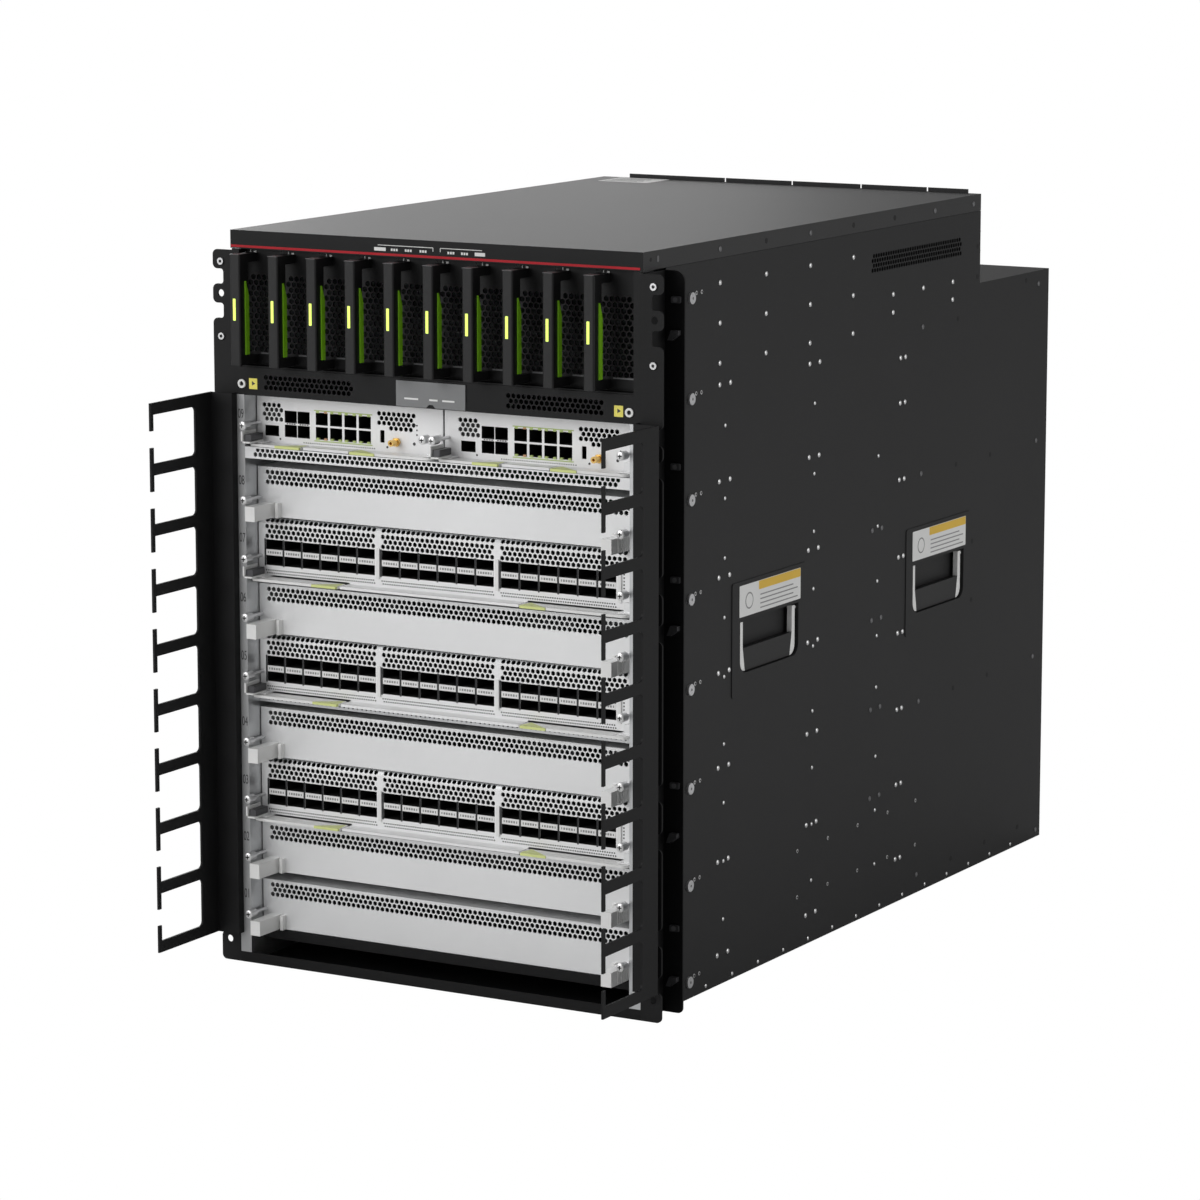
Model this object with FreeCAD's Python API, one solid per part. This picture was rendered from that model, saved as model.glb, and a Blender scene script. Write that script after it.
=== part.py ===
import FreeCAD, Part
import math
import os

# Modular chassis switch for a 19-inch rack.
# Millimetres. X runs to the viewer's right, Y to the rear, Z up from the base.
# Every piece is drawn with the front plane at Y = 0 and moved to the row frame when it is saved.

V = FreeCAD.Vector

# Overall sizes
BODY_W = 442.0
BODY_H = 703.0
BODY_D = 876.0
POWER_D = 705.0
DECK_Z = 612.0
RACK_W = 482.6
COMB_REACH = 107.0
FRONT_Y = -(BODY_D - COMB_REACH) / 2

# Sheets and clearances
SHEET = 1.5
THIN = 1.2
BASE_SHEET = 2.0
GAP = 0.3
PIN_CLEARANCE = 0.05

# Hexagonal perforation
HEX_PITCH = 5.4
HEX_ACROSS = 4.2
HEX_ROW = 4.7
MESH_PITCH = 6.0
MESH_ACROSS = 4.8
MESH_LOW = 591.0
MESH_ROWS = 14
MESH_ROW = 5.22

# Heights of the front, from the base up
LIP_H = 10.0
SLOT_BASE = 31.0
SLOT_PITCH = 56.0
BEAM_H = 10.0
MID_DIVIDER = 7.6
DIVIDER_TOP = 3.8
DIVIDER_H = 6.4
DIVIDER_HOLES = 80
DIVIDER_HOLE_PITCH = 5.0
DIVIDER_HOLE_W = 2.0
DIVIDER_HOLE_Z = (2.2, 4.0)
SLOTS_BELOW_DIVIDER = 4
SLOT_COUNT = 8
VENT_STRIP_H = 11.0
VENT_STRIP_ROWS = (7.0, 2.6)
MANAGER_BASE = 500.0
MANAGER_H = 47.6
AIR_BASE = 548.6
AIR_H = 26.2
AIR_VENTS = ((-185.0, -84.0), (79.0, 182.0))
AIR_VENT_LOW = 8.2
AIR_VENT_ROWS = 3
GROUND_JACKS = (-209.7, 207.5)
GROUND_JACK_Z = 10.4
GROUND_JACK_R = 4.2
GROUND_JACK_HOLE_R = 2.2
CARD_X = (-38.5, 36.0)
CARD_LOW = 0.7
CARD_H = 23.7
CARD_NOTCH = (-6.0, -3.0, 1.0, 4.0)
CARD_NOTCH_H = 3.0
BAY_HALF = 211.4
LID_H = 17.0

# Card cage
CAGE_HALF = 207.6
CARD_HALF = 206.8
GUIDE_W = 6.0
GUIDE_START = 4.0
FACE_Y = 20.0
CARD_BACK = 398.0
MANAGER_BACK = 360.0
POST_EDGE = BODY_W / 2 - SHEET

# Line cards
LINE_SLOTS = (3, 5, 7)
PANEL_RISE = 0.6
LINE_H = 50.2
LINE_LEVER_TOP = -0.6
CAGE_LOW = 8.4
CAGE_HIGH = 36.0
TRAY_WALL = 40.0
SINK_W = 90.0
SINK_Y = (150.0, 230.0)
LINE_SINKS = (-150.0, -45.0, 60.0)
HOOD_RUN = 6.4
HOOD_LEAN = 35.0
PORT_GROUPS = 3
PORT_COLUMNS = 6
PORT_PITCH = 20.6
PORT_W = 18.8
PORT_H = 9.4
PORT_DEPTH = 46.0
PORT_LEFT = -199.4
GROUP_PITCH = 129.6
PORT_ROWS = (10.0, 25.2)
LINE_HEX_ROWS = (37.7, 42.4, 47.1)

# Filler panels
FILLER_SLOTS = (1, 2, 4, 6, 8)
FILLER_H = 48.0
FILLER_DEPTH = 40.0
FILLER_HEX_ROWS = (33.6, 38.3, 43.0)
HEX_EDGE = 198.0
GRIP_IN = 187.0
GRIP_OUT = 197.8
GRIP_FRONT = -16.0
GRIP_H = 14.0
GRIP_POST = (181.0, 184.0)
GRIP_POST_D = 6.0

# Ejector levers and captive screws
LEVER_H = 2.4
LEVER_FRONT = 1.0
LEVER_BACK = 18.0
LEVER_PIVOT_X = 198.5
LEVER_PIVOT_Y = 11.0
LEVER_BOSS_R = 6.5
LEVER_ROUND = 6.4
LEVER_BRACKET_D = 5.0
LEVER_PIN_R = 2.0
LEVER_CORNER = 3.0
LINE_LEVER_ENDS = (-107.0, 91.0)
TAB_L = 28.0
TAB_D = 9.0
TAB_LEAD = 1.0
SILL_INSET = 2.0
SCREW_X = 203.6
SCREW_Z = 19.0
SCREW_KNOB_R = 4.1
SCREW_STEM_R = 1.7
SCREW_KNOB_FRONT = -10.0
SCREW_KNOB_BACK = -0.8
KNOB_SIDES = 16
STEM_SIDES = 12

# Boards and heatsinks of the cards
STAND_OFF_H = 4.0
STAND_OFF_W = 6.0
CARD_BOARD_T = 1.6
CARD_BOARD_FRONT = 36.0
SINK_BASE = 3.0
SINK_H = 18.0
SINK_FINS = 8
PLUGS = 3
PLUG_SHARE = 0.7
PLUG_D = 22.0

# Management modules
# Places along X are counted from a module's own start; the right module starts at the middle.
MANAGER_EDGE = 1.0
MANAGER_PITCH = 216.3
MANAGER_LEVER_TOP = 502.4
PIVOT_CLEAR = 1.8
MANAGER_LEVER_ENDS = (70.0, 124.0)
MANAGER_WALL = 39.0
MANAGER_SCREW_Z = 520.5
MANAGER_VENT_ROWS = (537.6, 533.2, 528.8)
MANAGER_LAST_ROW = 524.4
SMALL_VENT = (15.6, 38.8)
LARGE_VENT = (143.4, 185.6)
LAST_ROW_X = (156.5, 183.0)
CONSOLE_X = (18.6, 34.0)
CONSOLE_Z = (508.4, 518.4)
USB_X = (146.6, 151.4)
USB_Z = (510.4, 522.0)
JACK_LOW = 508.4
JACK_DEPTH = 30.0
JACK_RIM_X = (16.0, 140.0)
JACK_RIM_Z = (506.6, 535.6)
CAGE_JACK = {"start": 40.6, "columns": 2, "pitch": (14.4, 13.4), "size": (13.6, 11.6)}
NETWORK_JACK = {"start": 75.4, "columns": 4, "pitch": (15.9, 13.6), "size": (13.4, 11.8)}
COAX_X = 165.0
COAX_Z = 512.0
COAX_NUT_R = 4.4
COAX_NUT_T = 3.0
COAX_R = 3.1
COAX_L = 11.0
COAX_HOLE_R = 1.4
MANAGER_SINK_X = 66.0

# Power bay and power modules
POWER_COUNT = 10
POWER_PITCH = 42.2
POWER_GAP = 0.4
POWER_FACE_Y = 10.0
POWER_BACK = 430.0
POWER_TOP = 685.0
BAR_W = 11.5
BAR_INSET = 1.8
BAR_FRONT = -20.0
BAR_BACK = -6.5
BAR_LOW = 578.5
BAR_HIGH = 682.0
BAR_ROUND = 2.0
ARM_H = 8.0
TRIGGER_T = 1.2
TRIGGER_FRONT = -12.2
TRIGGER_LOW = 588.0
TRIGGER_HIGH = 657.0
TRIGGER_TAPER = 14.0
MESH_MARGIN = 3.2
POWER_PLUG_INSET = 8.0
POWER_PLUG_Z = (23.0, 83.0)
POWER_PLUG_D = 8.0

# Rack ears, set-back flanges and their holes
EAR_TOP = 684.0
EAR_SHEET = 2.0
EAR_HOLE_SPAN = 465.1
EAR_HOLE_TOP = 643.0
RACK_UNITS_BETWEEN = 14
RACK_UNIT = 44.45
EAR_HOLE_R = 3.5
EAR_SLOTS_Z = (35.0, 79.2, 169.2, 213.5, 360.2, 404.0, 508.8, 538.1, 626.6, 658.8)
EAR_SLOT_H = 14.2
EAR_SLOT_ROOT = 229.6
EAR_SLOT_CORNER = 3.0
EAR_CORNER = 5.0
FLANGE_Y = 40.0
FLANGE_LEG = 70.0
FLANGE_INSET = 1.0
FLANGE_CORNER = 10.0
SIDE_SCREW_Y = 89.0
SIDE_SCREW_Z = (16.0, 108.0, 200.0, 293.0, 377.0, 469.0, 562.0, 654.0)
SIDE_SCREW_R = 5.5
SIDE_SCREW_HEAD = 2.0
SHANK_R = 2.5
EAR_SHANK_R = 1.8
EAR_SCREW_X = 232.0
EAR_SCREW_Z = (602.5, 673.0)
EAR_SCREW_R = 3.3
EAR_SCREW_HEAD = 1.6

# Cable combs
COMB_SHEET = 2.0
COMB_BASE_Y = -8.8
COMB_STRIP_Y = -35.0
COMB_BAR_Y = -102.5
COMB_INNER = 216.0
COMB_TOP_Z = 544.7
COMB_PITCH = 56.7
COMB_ARMS = 10
COMB_ARM_H = 11.0
COMB_BAR_H = 41.0
COMB_WINDOW_R = 5.0

# Lifting handles and their cups
CUP_STARTS = (184.5, 553.5)
CUP_W = 121.0
CUP_LOW = 290.0
CUP_HIGH = 343.0
CUP_DEPTH = 9.6
CUP_CORNER = 12.0
BAIL_CLEAR = 3.5
BAIL_DROP = 1.0
BAIL_T = 5.0
BAIL_LEG = 6.0
BAIL_GRIP_H = 22.0
PIVOT_DROP = 6.0
PIVOT_PIN_R = 1.8
SURROUND_T = 0.8
SURROUND_MARGIN = 14.5
SURROUND_ABOVE = 36.0
SURROUND_BELOW = 20.0
SURROUND_CORNER = 3.0

# Side vent
VENT_Y = (456.0, 660.0)
VENT_ROWS_Z = (646.2, 650.9, 655.6, 660.3)

# Rear half
MIDPLANE_Y = 404.0
MIDPLANE_T = 3.2
SOCKET_HALF = 36.0
SOCKET_D = 4.0
SOCKET_XS = (-104.0, 0.0, 104.0)
SOCKET_RISE = 10.0
SOCKET_H = 22.0
BOARD_COUNT = 6
BOARD_T = 2.4
BOARD_DEPTH = 190.0
BOARD_INSET = 30.0
BOARD_PLUGS_Z = (60.0, 180.0, 300.0, 420.0)
BOARD_PLUG_X = (-6.0, 10.0)
BOARD_PLUG_H = 40.0
BOARD_PLUG_D = 16.0
BOARD_CHIPS_Z = (110.0, 320.0)
BOARD_CHIP = (14.0, 70.0, 90.0)
FAN_TRAYS = 3
FAN_BACK = 850.0
FAN_DEPTH = 120.0
SHELF_LEAD = 10.0
FAN_BAY_HIGH = 608.0
FAN_X = 103.0
FAN_R = 86.0
ROTOR_R = 83.0
ROTOR_L = 60.0
ROTOR_GAP = 8.0
HUB_R = 27.0
MOTOR_R = 24.0
AXLE_ROOT = 1.0
BLADE_ROOT = 23.0
AXLE_R = 4.0
AXLE_L = 76.0
MOTOR_T = 16.0
BLADES = 7
BLADE_HALF_CHORD = 24.0
BLADE_T = 2.4
BLADE_LEAN = 35.0
GUARD_RINGS = (38.0, 54.0, 70.0)
GUARD_RING_W = 2.0
GUARD_SPOKE_W = 4.0
GUARD_LAP = 1.0
ROUND_SIDES = 32
FAN_HANDLE_X = (6.0, 12.0)
FAN_HANDLE_D = 22.0
FAN_HANDLE_T = 7.0
FAN_HANDLE_HALF = 60.0
FAN_KNOB_R = 4.5
FAN_KNOB_L = 12.0
FAN_KNOB_IN = 9.0
FAN_KNOB_Z = 14.0

# Rear power inlets
INLET_W = 27.0
INLET_H = 20.0
INLET_DEPTH = 22.0
INLET_Z = 634.0
REAR_LIP_H = 4.0
REAR_LIP_GAPS = (-75.0, 4.0, 84.0, 160.0)
REAR_LIP_GAP_W = 2.0
REAR_LIP_ENDS = (-191.0, 207.0)
PRONG_XS = (-7.0, 0.0, 7.0)
PRONG_HALF_W = 0.9
PRONG_HALF_H = 3.5
REAR_KNOBS_Z = (644.0, 664.0)
REAR_KNOB_IN = 6.0
REAR_KNOB_R = 4.0
REAR_KNOB_L = 8.0

HALF_W = BODY_W / 2
RACK_HALF = RACK_W / 2
AIR_TOP = AIR_BASE + AIR_H
BAY_FLOOR = AIR_TOP + SHEET
SHELF_TOP = MANAGER_BASE - GAP
FAN_BAY_STEP = (FAN_BAY_HIGH - BASE_SHEET) / FAN_TRAYS
LID_Z = BODY_H - LID_H
WALL_OUT = CAGE_HALF + THIN

AXES = {
    "x": lambda u, v, w: V(w, u, v),
    "y": lambda u, v, w: V(u, w, v),
    "z": lambda u, v, w: V(u, v, w),
}


def slot_bottom(number):
    """Height of the floor of a slot, counted from 1 at the base."""
    extra = MID_DIVIDER if number > SLOTS_BELOW_DIVIDER else 0.0
    return SLOT_BASE + (number - 1) * SLOT_PITCH + extra


def block(x, y, z):
    """Box from its two limits along each axis."""
    return Part.makeBox(x[1] - x[0], y[1] - y[0], z[1] - z[0], V(x[0], y[0], z[0]))


def both(x, sign):
    """Limits given for the right side, put on the side that sign names."""
    return tuple(sorted((sign * x[0], sign * x[1])))


def rect(u, v, radius=0.0):
    """Corner points of a rectangle, each with its rounding."""
    return [(u[0], v[0], radius), (u[1], v[0], radius), (u[1], v[1], radius), (u[0], v[1], radius)]


def polygon(u, v, radius, sides, phase=0.0):
    """Corner points of a regular polygon."""
    step = 2 * math.pi / sides
    return [(u + radius * math.cos(phase + step * i), v + radius * math.sin(phase + step * i))
            for i in range(sides)]


def hexagon(u, v, across):
    """Hexagonal hole with one corner up."""
    return polygon(u, v, across / math.sqrt(3), 6, math.pi / 6)


def hex_rows(u, rows, pitch, across):
    """Staggered rows of hexagonal holes between two limits."""
    holes = []
    for index, v in enumerate(rows):
        start = u[0] + across / 2 + (pitch / 2 if index % 2 else 0.0)
        count = int((u[1] - across / 2 - start) / pitch + 1e-6) + 1
        holes += [hexagon(start + pitch * i, v, across) for i in range(count)]
    return holes


def outline(points, place):
    """Closed wire through flat points; a third number on a point rounds that corner."""
    stops = []
    for i, point in enumerate(points):
        here = place(point[0], point[1])
        radius = point[2] if len(point) > 2 else 0.0
        if radius <= 0.0:
            stops.append((here, here, None))
            continue
        following = points[(i + 1) % len(points)]
        before = place(points[i - 1][0], points[i - 1][1]) - here
        after = place(following[0], following[1]) - here
        before.normalize()
        after.normalize()
        half = before.getAngle(after) / 2
        reach = radius / math.tan(half)
        inward = before + after
        inward.normalize()
        middle = here + inward * (radius / math.sin(half) - radius)
        stops.append((here + before * reach, here + after * reach, middle))
    edges = []
    for i, (start, end, middle) in enumerate(stops):
        if middle is not None:
            edges.append(Part.Arc(start, middle, end).toShape())
        following = stops[(i + 1) % len(stops)][0]
        if (following - end).Length > 1e-6:
            edges.append(Part.LineSegment(end, following).toShape())
    return Part.Wire(edges)


def plate(axis, points, start, thick, holes=(), rounds=()):
    """Flat plate square to an axis, with shaped holes and round holes (u, v, radius)."""
    def place(u, v):
        return AXES[axis](u, v, start)

    wires = [outline(points, place)]
    wires += [outline(hole, place) for hole in holes]
    normal = AXES[axis](0, 0, 1)
    wires += [Part.Wire(Part.makeCircle(r, place(u, v), normal)) for u, v, r in rounds]
    if len(wires) > 1:
        face = Part.makeFace(wires, "Part::FaceMakerCheese")
    else:
        face = Part.Face(wires[0])
    return face.extrude(AXES[axis](0, 0, thick))


def rod(axis, centre, radius, start, length):
    """Round rod along an axis."""
    return Part.makeCylinder(radius, length, AXES[axis](centre[0], centre[1], start), AXES[axis](0, 0, 1))


def fuse(pieces):
    """One solid from pieces that touch or overlap."""
    return pieces[0].multiFuse(pieces[1:]).removeSplitter()


def checked(pieces):
    """The pieces as one shape, after a check that each is one sound solid."""
    shape = Part.makeCompound(pieces) if len(pieces) > 1 else pieces[0]
    if len(shape.Solids) != len(pieces) or not shape.isValid():
        raise ValueError(f"{len(shape.Solids)} solids from {len(pieces)} pieces")
    return shape


def write(name, shape, x=0.0, z=0.0):
    """Write one node, moved from the place where it was drawn."""
    moved = shape.copy()
    moved.translate(V(x, FRONT_Y, z))
    moved.exportStep(f"parts/{name}.step")


def save(name, pieces):
    """Check and write one node, made of one solid or of several separate ones."""
    write(name, checked(pieces))


def base_tray():
    """Floor of the chassis with the front lip and folded sides."""
    floor = block((-POST_EDGE, POST_EDGE), (0, BODY_D), (0, BASE_SHEET))
    lip = block((-POST_EDGE, POST_EDGE), (0, SHEET), (0, LIP_H))
    sides = [block(both((POST_EDGE - SHEET, POST_EDGE), s), (0, BODY_D), (0, LIP_H)) for s in (-1, 1)]
    save("base_tray", [fuse([floor, lip] + sides)])


def card_guides(sign):
    """Ledges that carry the cards along one cage wall."""
    x = both((CAGE_HALF - GUIDE_W, CAGE_HALF), sign)
    levels = [slot_bottom(n) for n in range(1, SLOT_COUNT + 1)]
    return [block(x, (FACE_Y + GUIDE_START, CARD_BACK), (z, z + THIN)) for z in levels]


def cage_side(sign):
    """Cage wall with its posts front and rear, its ledges and the stop for the midplane."""
    wall = both((CAGE_HALF, WALL_OUT), sign)
    post = both((CAGE_HALF, POST_EDGE), sign)
    stop = both((CAGE_HALF - 2 * GUIDE_W, CAGE_HALF), sign)
    rear = BODY_D - SHEET
    pieces = [block(wall, (SHEET, rear), (BASE_SHEET, AIR_TOP)),
              block(wall, (POWER_D, rear), (AIR_TOP - THIN, DECK_Z - SHEET)),
              block(post, (0, SHEET), (LIP_H, AIR_BASE)),
              block(post, (rear - SHEET, rear), (LIP_H, DECK_Z - SHEET)),
              block(stop, (MIDPLANE_Y - THIN, MIDPLANE_Y), (SLOT_BASE, MANAGER_BASE + MANAGER_H))]
    return pieces + card_guides(sign)


def cross_shelf(top, front, back):
    """Sheet across the cage."""
    return block((-CAGE_HALF, CAGE_HALF), (front, back), (top - THIN, top))


def divider_bar():
    """Perforated bar across the middle of the cage, with the shelf behind it."""
    top = slot_bottom(SLOTS_BELOW_DIVIDER + 1) - DIVIDER_TOP
    low = top - DIVIDER_H
    start = -DIVIDER_HOLE_PITCH * (DIVIDER_HOLES - 1) / 2
    middles = [start + DIVIDER_HOLE_PITCH * i for i in range(DIVIDER_HOLES)]
    half = DIVIDER_HOLE_W / 2
    holes = [rect((x - half, x + half), shifted(DIVIDER_HOLE_Z, low)) for x in middles]
    bar = plate("y", rect((-CAGE_HALF, CAGE_HALF), (low, top)), FACE_Y, THIN, holes)
    return [bar, cross_shelf(top, FACE_Y, CARD_BACK)]


def vent_strip():
    """Perforated strip in the front plane under the management modules, with their shelf."""
    rows = [SHELF_TOP - drop for drop in VENT_STRIP_ROWS]
    holes = hex_rows((-HEX_EDGE, HEX_EDGE), rows, HEX_PITCH, HEX_ACROSS)
    edge = rect((-CAGE_HALF, CAGE_HALF), (SHELF_TOP - VENT_STRIP_H, SHELF_TOP))
    return [plate("y", edge, 0, THIN, holes), cross_shelf(SHELF_TOP, 0, CARD_BACK)]


def chassis_frame():
    """Card cage, slot-number strips, shelves, power bay floor and rear fan bay."""
    pieces = cage_side(-1) + cage_side(1) + divider_bar() + vent_strip()
    pieces.append(block((-CAGE_HALF, CAGE_HALF), (FACE_Y, FACE_Y + THIN), (SLOT_BASE - BEAM_H, SLOT_BASE)))
    pieces.append(cross_shelf(SLOT_BASE, FACE_Y, FACE_Y + FILLER_DEPTH))
    wall = (-MANAGER_EDGE + GAP, MANAGER_EDGE - GAP)
    pieces.append(block(wall, (FACE_Y + GUIDE_START, CARD_BACK), (SHELF_TOP - THIN, AIR_TOP)))
    across = (-POST_EDGE, POST_EDGE)
    pieces.append(block(across, (SHEET, POWER_D - SHEET), (AIR_TOP, BAY_FLOOR)))
    pieces.append(block(across, (POWER_D, BODY_D), (DECK_Z - SHEET, DECK_Z)))
    pieces.append(block(across, (BODY_D - SHEET, BODY_D), (FAN_BAY_HIGH - GAP, DECK_Z)))
    levels = [BASE_SHEET + FAN_BAY_STEP * i for i in range(1, FAN_TRAYS)]
    depth = (FAN_BACK - FAN_DEPTH - SHELF_LEAD, BODY_D - SHEET)
    pieces += [block((-CAGE_HALF, CAGE_HALF), depth, (z - SHEET, z)) for z in levels]
    save("chassis_frame", [fuse(pieces)])


def cup_pan(y, sign):
    """Open pan behind one lifting handle, with the raised plate around it."""
    outer_x = HALF_W
    back_x = POST_EDGE - CUP_DEPTH
    rim = rect((y, y + CUP_W), (CUP_LOW, CUP_HIGH))
    inner = [(y + THIN, CUP_LOW + THIN, CUP_CORNER), (y + CUP_W - THIN, CUP_LOW + THIN, CUP_CORNER),
             (y + CUP_W - THIN, CUP_HIGH - THIN), (y + THIN, CUP_HIGH - THIN)]
    walls = plate("x", rim, back_x, outer_x - back_x, [inner])
    back = plate("x", rim, back_x, THIN)
    plate_rim = rect((y - SURROUND_MARGIN, y + CUP_W + SURROUND_MARGIN),
                     (CUP_LOW - SURROUND_BELOW, CUP_HIGH + SURROUND_ABOVE), SURROUND_CORNER)
    surround = plate("x", plate_rim, outer_x, SURROUND_T, [inner])
    pan = fuse([walls, back, surround])
    pin = rod("y", (bail_x(), pivot_z()), PIVOT_PIN_R + PIN_CLEARANCE, y - THIN, CUP_W + 2 * THIN)
    pan = pan.cut(pin)
    return pan if sign > 0 else mirrored(pan)


def mirrored(shape):
    """The same piece on the other side of the chassis."""
    return shape.mirror(V(0, 0, 0), V(1, 0, 0))


def bail_x():
    """Distance of a lifting handle's pin from the middle of the chassis."""
    return POST_EDGE - BAIL_T / 2


def pivot_z():
    """Height of a lifting handle's pin."""
    return CUP_HIGH - PIVOT_DROP


def side_panel(name, sign):
    """Outer side sheet with two handle cups and the vent of the power section."""
    start = FLANGE_Y + EAR_SHEET
    points = [(start, 0), (BODY_D, 0), (BODY_D, DECK_Z), (POWER_D, DECK_Z),
              (POWER_D, LID_Z - GAP), (start, LID_Z - GAP)]
    holes = [rect((y, y + CUP_W), (CUP_LOW, CUP_HIGH)) for y in CUP_STARTS]
    holes += hex_rows(VENT_Y, VENT_ROWS_Z, HEX_PITCH, HEX_ACROSS)
    rounds = [(SIDE_SCREW_Y, z, SHANK_R + GAP) for z in SIDE_SCREW_Z]
    sheet = plate("x", points, POST_EDGE, SHEET, holes, rounds)
    if sign < 0:
        sheet = mirrored(sheet)
    save(name, [fuse([sheet] + [cup_pan(y, sign) for y in CUP_STARTS])])


def lifting_handle(name, y, sign):
    """Folding handle: two legs, a broad grip and the pins at its upper ends."""
    low = CUP_LOW + THIN + BAIL_DROP
    high = pivot_z() + BAIL_T / 2
    edge = (y + THIN + BAIL_CLEAR, y + CUP_W - THIN - BAIL_CLEAR)
    corner = CUP_CORNER - BAIL_CLEAR / 2
    outer = [(edge[0], low, corner), (edge[1], low, corner), (edge[1], high), (edge[0], high)]
    window = [(edge[0] + BAIL_LEG, low + BAIL_GRIP_H), (edge[1] - BAIL_LEG, low + BAIL_GRIP_H),
              (edge[1] - BAIL_LEG, high), (edge[0] + BAIL_LEG, high)]
    legs = outer[:3] + [(window[2][0], high), (window[1][0], window[1][1]), (window[0][0], window[0][1]),
                        (window[3][0], high), outer[3]]
    bail = plate("x", legs, bail_x() - BAIL_T / 2, BAIL_T)
    length = BAIL_CLEAR + THIN
    pins = [rod("y", (bail_x(), pivot_z()), PIVOT_PIN_R, start, length)
            for start in (edge[0] - length + GAP, edge[1] - GAP)]
    handle = fuse([bail] + pins)
    save(name, [handle if sign > 0 else mirrored(handle)])


def top_cover():
    """Lid with the front fascia and folded sides."""
    top = block((-HALF_W, HALF_W), (0, POWER_D), (BODY_H - SHEET, BODY_H))
    fascia = block((-HALF_W, HALF_W), (0, SHEET), (LID_Z, BODY_H))
    sides = [block(both((POST_EDGE, HALF_W), s), (0, POWER_D), (LID_Z, BODY_H)) for s in (-1, 1)]
    save("top_cover", [fuse([top, fascia] + sides)])


def ground_jack(x):
    """Ring of a grounding jack on the air panel."""
    z = AIR_BASE + GROUND_JACK_Z
    hole = polygon(x, z, GROUND_JACK_HOLE_R, KNOB_SIDES)
    return plate("y", polygon(x, z, GROUND_JACK_R, KNOB_SIDES), -SHEET, SHEET, [hole])


def front_bezel():
    """Black air panel under the power bay, with the posts beside the bay."""
    rows = [AIR_BASE + AIR_VENT_LOW + HEX_ROW * i for i in range(AIR_VENT_ROWS)]
    holes = []
    for vent in AIR_VENTS:
        holes += hex_rows(vent, rows, HEX_PITCH, HEX_ACROSS)
    high = LID_Z - GAP
    points = [(-POST_EDGE, AIR_BASE), (POST_EDGE, AIR_BASE), (POST_EDGE, high), (BAY_HALF, high),
              (BAY_HALF, AIR_TOP), (-BAY_HALF, AIR_TOP), (-BAY_HALF, high), (-POST_EDGE, high)]
    panel = plate("y", points, 0, SHEET, holes)
    fold = block((-CAGE_HALF, CAGE_HALF), (0, FACE_Y - GUIDE_START), (AIR_BASE, AIR_BASE + THIN))
    save("front_bezel", [fuse([panel, fold] + [ground_jack(x) for x in GROUND_JACKS])])


def label_card():
    """Clear slip that holds the legend, with a finger notch below."""
    low = AIR_BASE + CARD_LOW
    inset = low + CARD_NOTCH_H
    points = [(CARD_X[0], low), (CARD_NOTCH[0], low), (CARD_NOTCH[1], inset), (CARD_NOTCH[2], inset),
              (CARD_NOTCH[3], low), (CARD_X[1], low), (CARD_X[1], low + CARD_H), (CARD_X[0], low + CARD_H)]
    save("label_card", [plate("y", points, -THIN, THIN)])


def rack_ear(name, sign):
    """Ear in the front plane, with open slots for the rack's screws."""
    edge = RACK_HALF
    points = [(HALF_W, 0), (edge, 0, EAR_CORNER)]
    for z in EAR_SLOTS_Z:
        low = z - EAR_SLOT_H / 2
        high = z + EAR_SLOT_H / 2
        points += [(edge, low, EAR_CORNER), (EAR_SLOT_ROOT, low, EAR_SLOT_CORNER),
                   (EAR_SLOT_ROOT, high, EAR_SLOT_CORNER), (edge, high, EAR_CORNER)]
    points += [(edge, EAR_TOP, EAR_CORNER), (HALF_W, EAR_TOP)]
    x = EAR_HOLE_SPAN / 2
    lower = EAR_HOLE_TOP - RACK_UNITS_BETWEEN * RACK_UNIT
    rounds = [(x, EAR_HOLE_TOP, EAR_HOLE_R), (x, lower, EAR_HOLE_R)]
    rounds += [(EAR_SCREW_X, z, EAR_SHANK_R + GAP) for z in EAR_SCREW_Z]
    front = plate("y", points, 0, EAR_SHEET, rounds=rounds)
    leg = block((POST_EDGE, HALF_W), (0, FLANGE_Y), (0, EAR_TOP))
    ear = fuse([front, leg])
    save(name, [ear if sign > 0 else mirrored(ear)])


def setback_flange(name, sign):
    """Second mounting flange, set back behind the ear, with its leg inside the side sheet."""
    inner = WALL_OUT + FLANGE_INSET
    low = LIP_H + GAP
    leg_top = AIR_TOP - GAP
    points = [(inner, low), (POST_EDGE, low), (POST_EDGE, 0), (RACK_HALF, 0, EAR_CORNER),
              (RACK_HALF, EAR_TOP, FLANGE_CORNER), (POST_EDGE, EAR_TOP), (POST_EDGE, leg_top),
              (inner, leg_top)]
    front = plate("y", points, FLANGE_Y, EAR_SHEET)
    leg_points = rect((FLANGE_Y, FLANGE_Y + EAR_SHEET + FLANGE_LEG), (low, leg_top))
    leg_rounds = [(SIDE_SCREW_Y, z, SHANK_R + GAP) for z in SIDE_SCREW_Z[:-1]]
    leg = plate("x", leg_points, POST_EDGE - SHEET, SHEET, rounds=leg_rounds)
    flange = fuse([front, leg])
    save(name, [flange if sign > 0 else mirrored(flange)])


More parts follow.
